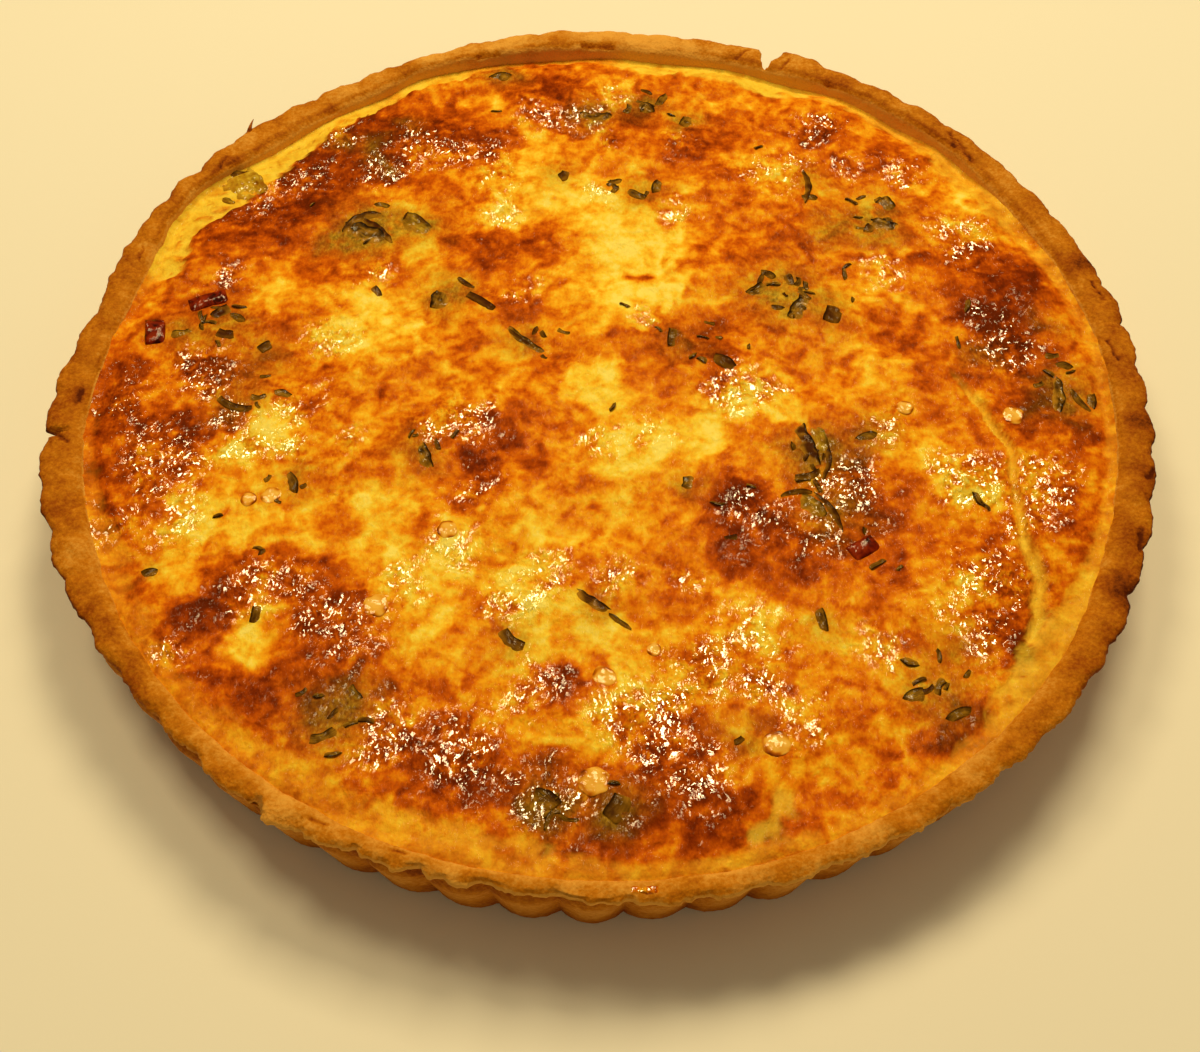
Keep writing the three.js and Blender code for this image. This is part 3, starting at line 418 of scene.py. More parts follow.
def smooth(x, low, high):
    """0 below low, 1 above high, and a soft rise between."""
    t = np.clip((x - low) / (high - low), 0, 1)
    return t * t * (3 - 2 * t)


@functools.lru_cache(maxsize=None)
def wave_turns(seed):
    return np.random.default_rng(seed).random((256, 256)) * 2 * math.pi


def waves(x, y, size, seed):
    """Irregular waves of about the given size, from -1 to 1, the same on every run."""
    turns = wave_turns(seed)
    u, v = x / size, y / size
    i, j = np.floor(u).astype(int), np.floor(v).astype(int)
    fu, fv = u - i, v - j

    def corner(a, b):
        turn = turns[(i + a) & 255, (j + b) & 255]
        return np.cos(turn) * (fu - a) + np.sin(turn) * (fv - b)

    su, sv = (t * t * t * (t * (6 * t - 15) + 10) for t in (fu, fv))
    low = corner(0, 0) * (1 - su) + corner(1, 0) * su
    high = corner(0, 1) * (1 - su) + corner(1, 1) * su
    return 1.5 * (low * (1 - sv) + high * sv)


def creases(x, y, size, seed):
    """Sharp-crested waves, from 0 in the furrows to 1 on the crests."""
    return 1 - np.minimum(1, 2.2 * np.abs(waves(x, y, size, seed)))


def warped(x, y, amount, size, seed):
    """The points pushed about, so that what is drawn on them loses its round outlines."""
    return x + amount * waves(x, y, size, seed), y + amount * waves(x, y, size, seed + 1)


def spots(x, y, places):
    """The sum of soft round spots, each given as x, y, reach and amount."""
    total = np.zeros_like(x)
    for px, py, reach, amount in places:
        total += amount * np.exp(-((x - px) ** 2 + (y - py) ** 2) / reach**2)
    return total


def seeded_draws(seed):
    """Draws from 0 to 1, the same as the shell's solid was made with."""
    mask = 0xFFFFFFFF
    state = seed
    while True:
        state = (state + 0x6D2B79F5) & mask
        t = ((state ^ (state >> 15)) * (1 | state)) & mask
        t = ((t + (((t ^ (t >> 7)) * (61 | t)) & mask)) & mask) ^ t
        yield ((t ^ (t >> 14)) & mask) / 2**32


def out_of_round(angle):
    return 0.5 * np.sin(2 * angle + 0.8) + 0.35 * np.sin(3 * angle - 1.1) + 0.25 * np.sin(5 * angle)


def rim_plan(angle, measure):
    """One measure of the rim's plan at each angle, with soft changes between the places it is given for."""
    degrees = np.degrees(angle) % 360
    plan = np.array(RIM_PLAN)
    after = np.clip(np.searchsorted(plan[:, 0], degrees, side="right"), 1, len(plan) - 1)
    low, high = plan[after - 1], plan[after]
    rise = smooth(degrees, low[..., 0], high[..., 0])
    return low[..., measure] + (high[..., measure] - low[..., measure]) * rise


def inner_radius(angle, z):
    """Radius of the shell's inner wall at a height."""
    top = RIM_RADIUS - rim_plan(angle, 1) + out_of_round(angle)
    return top - WALL_TAPER * np.clip((LIP_HEIGHT - z) / (LIP_HEIGHT - FLOOR_THICKNESS), 0, 1)


def skin_height(x, y):
    """Height of the custard's skin, without its fine relief."""
    angle = np.arctan2(y, x)
    wall = inner_radius(angle, CRUST_HEIGHT)
    radius = np.minimum(np.hypot(x, y), wall)
    z = FILL_LEVEL - FILL_TILT * y / RIM_RADIUS + DOME * (1 - (radius / wall) ** 2)
    z -= EDGE_DROP * (1 + np.sin(angle)) * (1 - smooth(wall - radius, 0, EDGE_WIDTH))
    z += spots(x, y, HILLS)
    for along_x, along_y, shift in RIPPLES:
        z += RIPPLE_HEIGHT * np.sin(along_x * x + along_y * y + shift)
    return z


def distance_to_path(x, y, path):
    """Distance to a line through points, and the same with its sign turned on the left of the line."""
    nearest = np.full_like(x, 1e9)
    signed = np.zeros_like(x)
    for (ax, ay), (bx, by) in zip(path, path[1:]):
        dx, dy = bx - ax, by - ay
        t = np.clip(((x - ax) * dx + (y - ay) * dy) / (dx * dx + dy * dy), 0, 1)
        away = np.hypot(x - ax - t * dx, y - ay - t * dy)
        side = np.sign(dx * (y - ay) - dy * (x - ax))
        signed = np.where(away < nearest, -side * away, signed)
        nearest = np.minimum(nearest, away)
    return nearest, signed


# ---------------------------------------------------------------- modelling


def clear_selection():
    if bpy.context.mode != "OBJECT":
        bpy.ops.object.mode_set(mode="OBJECT")
    bpy.ops.object.select_all(action="DESELECT")


def corners_of(piece):
    """The places of a mesh's corners in millimetres, one row each."""
    flat = np.empty(3 * len(piece.data.vertices))
    piece.data.vertices.foreach_get("co", flat)
    return flat.reshape(-1, 3) / MM


def move_corners(piece, places):
    piece.data.vertices.foreach_set("co", (places * MM).ravel())
    piece.data.update()


def paint(piece, name, amounts):
    """Stores one number for each corner, for the materials to read."""
    layer = piece.data.attributes.new(name, "FLOAT", "POINT")
    layer.data.foreach_set("value", np.ascontiguousarray(amounts, dtype=np.float32))


def flat_grid(name, columns, rows):
    """A new grid from -1 to 1 each way, selected and active, with its corners still flat."""
    clear_selection()
    bpy.ops.mesh.primitive_grid_add(x_subdivisions=columns, y_subdivisions=rows, size=2 * MM)
    piece = bpy.context.active_object
    piece.name = piece.data.name = name
    return piece


def apply_displace(piece, size, height):
    """Raises and lowers a piece's surface by an irregular pattern, along its own normals."""
    pattern = bpy.data.textures.new(f"{piece.name}_relief", "CLOUDS")
    pattern.noise_scale = size * MM
    displace = piece.modifiers.new("relief", "DISPLACE")
    displace.texture = pattern
    displace.texture_coords = "LOCAL"
    displace.strength = height * MM
    displace.mid_level = 0.5
    bpy.context.view_layer.objects.active = piece
    bpy.ops.object.modifier_apply(modifier=displace.name)


def select_only(piece):
    clear_selection()
    piece.select_set(True)
    bpy.context.view_layer.objects.active = piece


def smooth_faces(piece):
    select_only(piece)
    bpy.ops.object.shade_smooth()


def hand_over(piece, nodes, material):
    """Gives a finished piece its material, and ties it to the frame."""
    piece.data.materials.clear()
    piece.data.materials.append(material)
    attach(piece, "root")
    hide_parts(*nodes)


# ---------------------------------------------------------------- materials


def add_node(tree, kind, inputs=None, stops=(), out=0, **settings):
    """Adds a node with its settings and gives one of its outputs.

    An input is a plain value, or the output that it is linked to. A stop's colour may be a hex value.
    """
    made = tree.nodes.new("ShaderNode" + kind)
    for name, value in settings.items():
        setattr(made, name, value)
    for socket, value in (inputs or {}).items():
        if isinstance(value, bpy.types.NodeSocket):
            tree.links.new(value, made.inputs[socket])
        else:
            made.inputs[socket].default_value = value
    for k, (place, colour) in enumerate(stops):
        elements = made.color_ramp.elements
        stop = elements[k] if k < 2 else elements.new(place)
        stop.position = place
        stop.color = linear(colour) if isinstance(colour, str) else colour
    return made.outputs[out] if made.outputs else None


def new_material(name):
    """An empty material, and the function that adds a node to it."""
    material = bpy.data.materials.new(name)
    material.use_nodes = True
    material.node_tree.nodes.clear()
    return material, functools.partial(add_node, material.node_tree)


def cells(size):
    """Scale of a pattern whose cells are this many millimetres across."""
    return 1 / (size * MM)


def faceted(node, place, normal, amount, width):
    """Tilts a normal plane by plane, as a skin that dries and crumples lies in small flat facets.

    The width is in millimetres. Gives the tilted normal, and how wet each facet is.
    """
    moved = place
    for size, push in ((9.091, 9 * MM), (1.111, 0.8 * MM)):
        sway = node("TexNoise", {"Vector": place, "Scale": cells(size), "Detail": 1.0}, out="Color")
        moved = node("VectorMath", {0: sway, 1: (push, push, push), 2: moved}, operation="MULTIPLY_ADD")
    # The facets are twice as long from front to back as they are wide.
    moved = node("Mapping", {"Vector": moved, "Scale": (1.0, 0.45, 1.0)})
    plane = node("TexVoronoi", {"Vector": moved, "Scale": cells(width)}, out="Color")
    tilt = node("VectorMath", {0: plane, 1: (0.5, 0.5, 0.5)}, operation="SUBTRACT")
    tilt = node("VectorMath", {0: tilt, "Scale": amount}, operation="SCALE")
    tilted = node("VectorMath", {0: normal, 1: tilt}, operation="ADD")
    tilted = node("VectorMath", {0: tilted}, operation="NORMALIZE")
    draw = node("SeparateXYZ", {"Vector": plane}, out="Z")
    wetness = node("Math", {0: draw, 1: 1.5, 2: -0.1}, operation="MULTIPLY_ADD", use_clamp=True)
    return tilted, wetness


def baked_shortcrust(shell):
    """Shortcrust pastry, rolled, pressed into a fluted tin and baked: dry, matt and crumbly."""
    material, node = new_material("baked_shortcrust")
    place = node("TexCoord", out="Object")
    toast = node("Attribute", out="Fac", attribute_name="toast")
    # Uneven baking in patches of about 6 mm, and flecks of fat and flour of about 1 mm.
    patchy = node("TexNoise", {"Vector": place, "Scale": cells(6.25), "Detail": 4.0, "Roughness": 0.6})
    flecks = node("TexNoise", {"Vector": place, "Scale": cells(1.111), "Detail": 3.0, "Roughness": 0.7})
    mottle = node("Math", {0: patchy, 1: 0.55, 2: -0.275}, operation="MULTIPLY_ADD")
    specks = node("Math", {0: flecks, 1: 0.8, 2: -0.4}, operation="MULTIPLY_ADD")
    baking = node("Math", {0: toast, 1: mottle}, operation="ADD")
    baking = node("Math", {0: baking, 1: specks}, operation="ADD")
    colour = node(
        "ValToRGB",
        {"Fac": baking},
        stops=((0.0, shell.pale), (1.0, shell.scorched), (0.36, shell.baked), (0.68, shell.toasted)),
    )
    # Crumb grains of about 0.8 mm over soft lumps of 2.4 mm.
    lumps = node("TexNoise", {"Vector": place, "Scale": cells(2.381), "Detail": 6.0, "Roughness": 0.68})
    grains = node("TexVoronoi", {"Vector": place, "Scale": cells(0.7692)})
    relief = node("Math", {0: grains, 1: 0.35, 2: lumps}, operation="MULTIPLY_ADD")
    bump = node("Bump", {"Height": relief, "Strength": 0.6, "Distance": 0.7 * MM})
    shader = node(
        "BsdfPrincipled",
        {"Base Color": colour, "Roughness": 0.7, "IOR": 1.45, "Normal": bump, "Specular IOR Level": 0.08},
    )
    node("OutputMaterial", {"Surface": shader})
    return material


def custard_gloss(node, place, rough, clouds):
    """How glossy the custard's skin is, and the normal that it shines by."""
    # Fat has pooled in slanting streaks of about 3 by 8 mm, and they shine most.
    slanting = node(
        "Mapping",
        {"Vector": place, "Rotation": (0, 0, math.radians(42)), "Scale": (1.7, 0.6, 1.0)},
        vector_type="TEXTURE",
    )
    pools = node("TexNoise", {"Vector": slanting, "Scale": cells(5), "Detail": 3.0, "Roughness": 0.6})
    pools = node("Math", {0: pools, 1: 7.0, 2: -3.5}, operation="MULTIPLY_ADD")
    pools = node("Math", {0: rough, 1: 1.3, 2: pools}, operation="MULTIPLY_ADD", use_clamp=True)
    wet = node("Math", {0: rough, 1: 1.4, 2: -0.2}, operation="MULTIPLY_ADD", use_clamp=True)
    gloss = node("Math", {0: wet, 1: pools, 2: 0.01}, operation="MULTIPLY_ADD")
    # The skin lies in facets of 0.6 mm, which tilt more where it has crumpled.
    tight = node("Bump", {"Height": clouds, "Strength": 1.0, "Distance": 0.6 * MM})
    tilt = node("Math", {0: rough, 1: 0.3, 2: 0.28}, operation="MULTIPLY_ADD")
    shine, wetness = faceted(node, place, tight, tilt, 0.6)
    return node("Math", {0: gloss, 1: wetness}, operation="MULTIPLY"), shine


def baked_custard(custard):
    """Egg custard baked under a dry heat: soft curd under a glossy skin, crumpled where it has browned."""
    material, node = new_material("baked_custard_skin")
    place = node("TexCoord", out="Object")
    browning, bare, leek, rough = (
        node("Attribute", out="Fac", attribute_name=name)
        for name in ("browning", "bare", "leek_under", "crumple")
    )
    # Cloudy browning of about 5 mm, and wrinkles of about 1 mm and 2.4 mm whose furrows are darkened with
    # painted shade.
    clouds = node(
        "TexNoise", {"Vector": place, "Scale": cells(5), "Detail": 4.0, "Roughness": 0.55, "Distortion": 0.4}
    )
    drawn_out = node("Mapping", {"Vector": place, "Scale": (1.35, 0.75, 1.0)})
    fine = node("TexNoise", {"Vector": drawn_out, "Scale": cells(1), "Detail": 2.0, "Roughness": 0.6})
    middling = node("TexNoise", {"Vector": place, "Scale": cells(2.381), "Detail": 2.0, "Roughness": 0.5})
    shade = node("Math", {0: clouds, 1: 0.68, 2: -0.34}, operation="MULTIPLY_ADD")
    depth = node("Math", {0: fine, 1: 0.6, 2: middling}, operation="MULTIPLY_ADD")
    depth = node("Math", {0: depth, 1: -1.0, 2: 0.8}, operation="MULTIPLY_ADD")
    uneven = node("Math", {0: rough, 1: 0.62, 2: 0.44}, operation="MULTIPLY_ADD")
    furrow_depth_and_shade = node("Math", {0: depth, 1: uneven}, operation="MULTIPLY")
    cooked = node("Math", {0: browning, 1: shade}, operation="ADD")
    # Painted shade: the colour is darker in the furrows of the wrinkles.
    cooked = node("Math", {0: furrow_depth_and_shade, 1: 0.86, 2: cooked}, operation="MULTIPLY_ADD")
    colour = node(
        "ValToRGB",
        {"Fac": cooked},
        stops=(
            (0.0, "#fce670"),
            (1.0, custard.scorched),
            (0.14, "#f9d440"),
            (0.3, custard.golden),
            (0.45, "#e5830c"),
            (0.58, "#cb5d06"),
            (0.72, custard.browned),
            (0.86, "#802c01"),
        ),
    )
    # Leek close under the skin turns it a dull olive.
    under = node("Math", {0: middling, 1: 1.5}, operation="MULTIPLY")
    under = node("Math", {0: under, 1: leek}, operation="MULTIPLY", use_clamp=True)
    leaf = node("ValToRGB", {"Fac": fine}, stops=((0.3, "#6a4a10"), (0.74, "#b8922c"), (0.5, "#8f6e1c")))
    colour = node("Mix", {0: under, 6: colour, 7: leaf}, out=2, data_type="RGBA")
    yolk = node("ValToRGB", {"Fac": clouds}, stops=((0.3, "#f6d84e"), (0.72, "#d8961e"), (0.5, custard.yolk)))
    colour = node("Mix", {0: bare, 6: colour, 7: yolk}, out=2, data_type="RGBA")
    # The wrinkles stand up where the skin has crumpled, over soft unevenness of 5 mm everywhere.
    soft = node("Math", {0: clouds, 1: 0.5}, operation="MULTIPLY")
    relief = node("Math", {0: furrow_depth_and_shade, 1: -1.0, 2: soft}, operation="MULTIPLY_ADD")
    bump = node("Bump", {"Height": relief, "Strength": 1.0, "Distance": 1.1 * MM})
    gloss, shine = custard_gloss(node, place, rough, clouds)
    shader = node(
        "BsdfPrincipled",
        {
            "Base Color": colour,
            "Roughness": 0.5,
            "IOR": 1.4,
            "Specular IOR Level": 0.02,
            "Normal": bump,
            "Subsurface Weight": 0.06,
            "Subsurface Radius": (1.6 * MM, 0.7 * MM, 0.2 * MM),
            "Subsurface Scale": 1.0,
            "Coat Weight": gloss,
            "Coat Roughness": 0.07,
            "Coat IOR": 2.4,
            "Coat Normal": shine,
        },
    )
    node("OutputMaterial", {"Surface": shader})
    return material


def steam_blister(custard):
    """A bubble of steam under the custard's skin: a thin, clear, wet dome in a browned ring."""
    material, node = new_material("steam_blister_skin")
    place = node("TexCoord", out="Object")
    ring = node("Attribute", out="Fac", attribute_name="browning")
    # Uneven thickness, in lumps of about 2 mm.
    lumps = node("TexNoise", {"Vector": place, "Scale": cells(2.222), "Detail": 1.0})
    shade = node("Math", {0: lumps, 1: 0.6, 2: -0.3}, operation="MULTIPLY_ADD")
    shade = node("Math", {0: ring, 1: shade}, operation="ADD")
    colour = node(
        "ValToRGB",
        {"Fac": shade},
        stops=((0.1, "#f8c458"), (1.0, custard.scorched), (0.4, "#e8a02c"), (0.7, "#bc6408")),
    )
    bump = node("Bump", {"Height": lumps, "Strength": 1.0, "Distance": 0.4 * MM})
    shader = node(
        "BsdfPrincipled",
        {
            "Base Color": colour,
            "Roughness": 0.4,
            "IOR": 1.4,
            "Normal": bump,
            "Specular IOR Level": 0.02,
            "Coat Weight": 0.6,
            "Coat Roughness": 0.1,
            "Coat IOR": 1.5,
            "Coat Normal": bump,
        },
    )
    node("OutputMaterial", {"Surface": shader})
    return material


def cooked_leek(topping):
    """Leek leaf, softened in butter and crisped at its edges by the oven: limp, streaked and half clear."""
    material, node = new_material("cooked_leek_leaf")
    place = node("TexCoord", out="Object")
    edge, crisp, pale, melt = (
        node("Attribute", out="Fac", attribute_name=name) for name in ("edge", "crisp", "pale", "melt")
    )
    # Veins run along each leaf, eight across it, so the pattern is drawn out along the leaf's own length.
    along = node("Mapping", {"Vector": node("TexCoord", out="UV"), "Scale": (2.0, 8.0, 1.0)})
    veins = node("TexNoise", {"Vector": along, "Scale": 1.0, "Detail": 4.0, "Distortion": 0.5})
    # Dark and light places of about 2 mm, and the custard's own fine wrinkles of 1 mm over them.
    blotches = node("TexNoise", {"Vector": place, "Scale": cells(2.083), "Detail": 3.0})
    fine = node("TexNoise", {"Vector": place, "Scale": cells(0.9091), "Detail": 2.0})
    mixed = node("Math", {0: veins, 1: blotches}, operation="ADD")
    mixed = node("Math", {0: mixed, 1: 0.5}, operation="MULTIPLY")
    streaks = ((0.38, "#241403"), (0.64, topping.leek_light), (0.51, topping.leek))
    body = node("ValToRGB", {"Fac": mixed}, stops=streaks)
    body = node("Mix", {0: crisp, 6: body, 7: linear("#482106")}, out=2, data_type="RGBA")
    clear = node("ValToRGB", {"Fac": mixed}, stops=((0.36, "#a86c10"), (0.64, "#e6c444"), (0.5, "#c2981f")))
    body = node("Mix", {0: pale, 6: body, 7: clear}, out=2, data_type="RGBA")
    body = node("Mix", {0: melt, 6: body, 7: topping.melted}, out=2, data_type="RGBA")
    colour = node("Mix", {0: edge, 6: body, 7: topping.leek_edge}, out=2, data_type="RGBA")
    relief = node("Math", {0: veins, 1: fine}, operation="ADD")
    bump = node("Bump", {"Height": relief, "Strength": 0.6, "Distance": 0.4 * MM})
    # Only single wet places shine, in facets of 0.8 mm, and the crisped edges are nearly dry.
    shine, wetness = faceted(node, place, bump, 0.4, 0.8)
    wet = node("Math", {0: wetness, 1: 4.2, 2: -3.65}, operation="MULTIPLY_ADD")
    dry = node("Math", {0: edge, 1: crisp}, operation="MAXIMUM")
    gloss = node("Math", {0: dry, 1: -0.45, 2: wet}, operation="MULTIPLY_ADD", use_clamp=True)
    shader = node(
        "BsdfPrincipled",
        {
            "Base Color": colour,
            "Roughness": 0.5,
            "IOR": 1.42,
            "Specular IOR Level": 0.03,
            "Normal": bump,
            "Coat Weight": gloss,
            "Coat Roughness": 0.07,
            "Coat IOR": 1.8,
            "Coat Normal": shine,
        },
    )
    node("OutputMaterial", {"Surface": shader})
    return material


def browned_ham(topping):
    """Cured ham, cut in dice and browned: dark, with the grain of the meat and a moist shine."""
    material, node = new_material("browned_ham")
    place = node("TexCoord", out="Object")
    # Leaner and fatter places of about 2.4 mm, with fine fibres in them.
    fibres = node("TexNoise", {"Vector": place, "Scale": cells(2.381), "Detail": 4.0, "Distortion": 0.6})
    grain = ((0.36, "#300801"), (0.68, "#9c3205"), (0.5, topping.ham))
    colour = node("ValToRGB", {"Fac": fibres}, stops=grain)
    bump = node("Bump", {"Height": fibres, "Strength": 0.6, "Distance": 0.5 * MM})
    shader = node(
        "BsdfPrincipled",
        {
            "Base Color": colour,
            "Roughness": 0.5,
            "IOR": 1.42,
            "Specular IOR Level": 0.05,
            "Normal": bump,
            "Coat Weight": 0.6,
            "Coat Roughness": 0.08,
            "Coat Normal": faceted(node, place, bump, 0.4, 1.2)[0],
        },
    )
    node("OutputMaterial", {"Surface": shader})
    return material


# ---------------------------------------------------------------- pieces


def shell_profile(shell):
    """Rings of the shell from the middle of its base round to the middle of its floor.

    Each row has a radius, a height, how much the flutes move it, how much it follows the lip's plan and the
    wall's plan, and how much the rim's unevenness and the ragged lip move it.
    """
    valley = RIM_RADIUS - shell.flute_depth / MM
    foot = BASE_RADIUS - shell.flute_depth / MM
    overhang = shell.lip_overhang / MM
    rows = [
        (0.0, 0.0, 0, 0, 0, 0, 0),
        (MIDDLE_RING, 0.0, 0, 0, 0, 0, 0),
        (foot - FOOT_ROUND - 1, 0.0, 0.7, 0, 0, 0, 0),
        (foot - FOOT_ROUND + 0.3, 0.12, 1, 0, 0, 0, 0),
    ]
    for height in SIDE_HEIGHTS:
        radius = foot + (valley - foot) * height / LIP_HEIGHT - (0.45 if height < FOOT_ROUND else 0)
        near_lip = float(smooth(height, 20, LIP_HEIGHT))
        radius -= UNDERCUT * float(smooth(height, 19.5, 23.6))
        rows.append((radius, height, 1, near_lip, 0, 0.8 * near_lip, 0))
    for share, lift in LIP_RINGS:
        rows.append((valley + share * overhang, LIP_HEIGHT + lift, 1, 1, 0, 1, share))
    for share in RIM_SHARES:
        drop = float(np.interp(share, *zip(*RIM_DROPS)))
        radius = valley + (WALL_RADIUS - valley) * share
        rows.append((radius, CRUST_HEIGHT - drop, 1 - share, 1 - share, share, 1, 0.4 * (share < 0.05)))
    for height in WALL_HEIGHTS:
        taper = WALL_TAPER * (LIP_HEIGHT - height) / (LIP_HEIGHT - FLOOR_THICKNESS)
        rows.append((WALL_RADIUS - max(0, taper), height, 0, 0, 1, 0.5 if height > 24 else 0, 0))
    rows.append((WALL_RADIUS - WALL_TAPER - CORNER_ROUND, FLOOR_THICKNESS, 0, 0, 0, 0, 0))
    rows += [(radius, FLOOR_THICKNESS, 0, 0, 0, 0, 0) for radius in (MIDDLE_RING, 0.0)]
    return np.array(rows)


def turned(name, profile, steps):
    """Draws a line through the profile's points, corner by corner, and turns it once round the middle."""
    clear_selection()
    bpy.ops.mesh.primitive_plane_add(size=MM)
    piece = bpy.context.active_object
    piece.name = piece.data.name = name
    bpy.ops.object.mode_set(mode="EDIT")
    bpy.ops.mesh.select_all(action="SELECT")
    bpy.ops.mesh.merge(type="CENTER")
    points = [Vector((radius * MM, 0, height * MM)) for radius, height in profile]
    bpy.ops.transform.translate(value=points[0])
    for before, after in zip(points, points[1:]):
        bpy.ops.mesh.extrude_vertices_move(TRANSFORM_OT_translate={"value": after - before})
    bpy.ops.object.mode_set(mode="OBJECT")
    turn = piece.modifiers.new("turning", "SCREW")
    turn.axis = "Z"
    turn.steps = turn.render_steps = steps
    turn.use_merge_vertices = True
    turn.merge_threshold = 1e-6
    bpy.ops.object.modifier_apply(modifier=turn.name)
    bpy.ops.object.mode_set(mode="EDIT")
    bpy.ops.mesh.select_all(action="SELECT")
    bpy.ops.mesh.normals_make_consistent(inside=False)
    bpy.ops.object.mode_set(mode="OBJECT")
    return piece


def flute_bulge(shell, angle):
    """How far the side stands out of the valleys at each angle. Each crest has a height of its own."""
    draw = seeded_draws(28)
    crests = []
    for _ in range(shell.flutes):
        crests.append(CREST_SPREAD * (next(draw) - 0.5))
        for _ in range(2 * FLUTE_COLUMNS):
            next(draw)
    turns = (angle - FLUTE_PHASE) / (2 * math.pi) % 1 * shell.flutes
    flute = np.floor(turns).astype(int) % shell.flutes
    across = np.sin(math.pi * (turns - np.floor(turns)))
    return shell.flute_depth / MM * across**0.8 + np.array(crests)[flute] * across


def filled_flutes(shell, at):
    """How far the side stands out of the valleys. At the lip the dough fills them in part, and not evenly."""
    bulge = flute_bulge(shell, at.angle)
    uneven = waves(RIM_RADIUS * np.cos(at.angle), RIM_RADIUS * np.sin(at.angle), 30, 13)
    filled = at.lip * (1 - LIP_FLUTING + 0.25 * uneven) / np.maximum(at.fluted, 0.01)
    return bulge + np.clip(filled, 0, 0.85) * (0.6 * shell.flute_depth / MM - bulge)


def shell_outline(at):
    """Radius of each corner: the flutes, the plan of the lip and of the wall, and the ragged lip."""
    out = at.radius + at.fluted * at.bulge + at.lip * rim_plan(at.angle, 2)
    out += at.wall * (RIM_RADIUS - rim_plan(at.angle, 1) + out_of_round(at.angle) - WALL_RADIUS)
    out += (1 - at.lip - at.wall) * out_of_round(at.angle) * np.minimum(1, at.radius / 100)
    slab_angle, slab_half, slab_push = SLAB
    off_slab = np.abs(at.angle - math.radians(slab_angle)) / math.radians(slab_half)
    pushed = (1 - smooth(off_slab, 0.8, 1.4)) * smooth(at.height, CRUST_HEIGHT / 2, LIP_HEIGHT)
    out += slab_push * pushed * (1 - at.wall) * at.fluted
    round_x, round_y = RIM_RADIUS * np.cos(at.angle), RIM_RADIUS * np.sin(at.angle)
    tear = waves(round_x, round_y, 2.6, 11) + 0.6 * waves(round_x, round_y, 1.3, 12)
    torn_off = np.maximum(0, waves(round_x, round_y, 9, 14) - 0.3)
    return out + at.ragged * (1 + 0.9 * at.front) * (0.36 * tear - 1.6 * torn_off)


def break_rim(at, x, y, out, up):
    """Lets the rim's edge fall back and its top fall away at each break, and gives how torn each place is."""
    torn = np.zeros_like(out)
    for where, half, reach, drop in RIM_BREAKS:
        across = np.abs((at.angle - math.radians(where) + math.pi) % (2 * math.pi) - math.pi) * RIM_RADIUS
        inwards = np.clip((out - (RIM_RADIUS - reach)) / reach, 0, 1)
        width = 0.3 + (half - 0.3) * inwards
        broken = 1 - smooth(across + 0.5 * waves(x, y, 1.6, 31), 0.6 * width, 1.1 * width)
        broken = broken * (inwards > 0) * smooth(at.height, CRUST_HEIGHT - drop - 3, CRUST_HEIGHT - 1)
        up = up - broken * drop * (0.35 + 0.65 * inwards)
        out = out - broken * 0.7 * reach * inwards
        torn = np.maximum(torn, broken)
    return out, up, torn


def cracks_at(x, y):
    """How cracked the rim is at each place, from 0 to 1."""
    cracked = np.zeros_like(x)
    for from_angle, from_radius, to_angle, to_radius, width in CRACKS:
        ends = ((from_angle, from_radius), (to_angle, to_radius))
        line = [(r * math.cos(math.radians(a)), r * math.sin(math.radians(a))) for a, r in ends]
        away = distance_to_path(x + 0.5 * waves(x, y, 2, 33), y, line)[0]
        cracked = np.maximum(cracked, np.exp(-((away / width) ** 2)))
    return cracked


def baking_of_shell(shell, at, x, y, cracked, torn):
    """How far each place of the shell is baked: 0 is pale, and 1 is burnt."""
    edge = smooth(at.radius, WALL_RADIUS + 4.4, WALL_RADIUS + 7)
    edge *= smooth(at.height, LIP_HEIGHT - 1, LIP_HEIGHT)
    valleys = np.clip(1 - at.bulge / (shell.flute_depth / MM), 0, 1) * at.fluted
    # The rim's plan paints the top paler at the back, where it faces the lamps: painted light over the real
    # baking.
    toast = 0.35 + 0.16 * edge * (1 - at.front) + 0.1 * valleys * (at.height > 20) + rim_plan(at.angle, 3)
    toast += 0.16 * waves(x, y, 12, 41) + 0.12 * waves(x, y, 4, 42) - 0.1 * at.front + 0.5 * cracked
    toast += spots(x, y, [(*scorch, 0.3) for scorch in SCORCHES]) * at.uneven
    # The slope down to the wall is paler, and brown along its corner at the back. Broken faces are pale.
    toast -= 0.14 * smooth(at.wall, 0.45, 0.95)
    corner = np.exp(-(((at.wall - 0.8) / 0.1) ** 2)) * (at.height > 24) * smooth(np.sin(at.angle), 0, 0.6)
    toast += 0.3 * corner - 0.35 * torn
    # The wall inside has hardly browned, and the side outside is darker in its valleys and towards its foot.
    wall = (at.wall > 0.97) * smooth(at.height, 15, 24)
    on_wall = -0.12 + 0.16 * smooth(at.height, 23.4, 25) + 0.12 * waves(x, y, 9, 43)
    toast = toast * (1 - wall) + wall * on_wall
    side = at.fluted * smooth(LIP_HEIGHT - at.height, 0.5, 3)
    toast = toast * (1 - side) + side * (0.2 + 0.26 * valleys + 0.22 * (1 - smooth(at.height, 2, 14)))
    # The cut edge of the lip has browned, and at the front it is pale. At the front the side just under the
    # lip is painted darker, as painted shade cast by the lip.
    toast += smooth(at.ragged, 0.5, 0.9) * (0.4 * (1 - at.front) - 0.36 * at.front)
    shade_under_lip = smooth(at.height, 17, 22) * (at.height < LIP_HEIGHT) * (at.ragged == 0) * (1 - at.wall)
    return toast + 0.3 * at.front * at.fluted * shade_under_lip


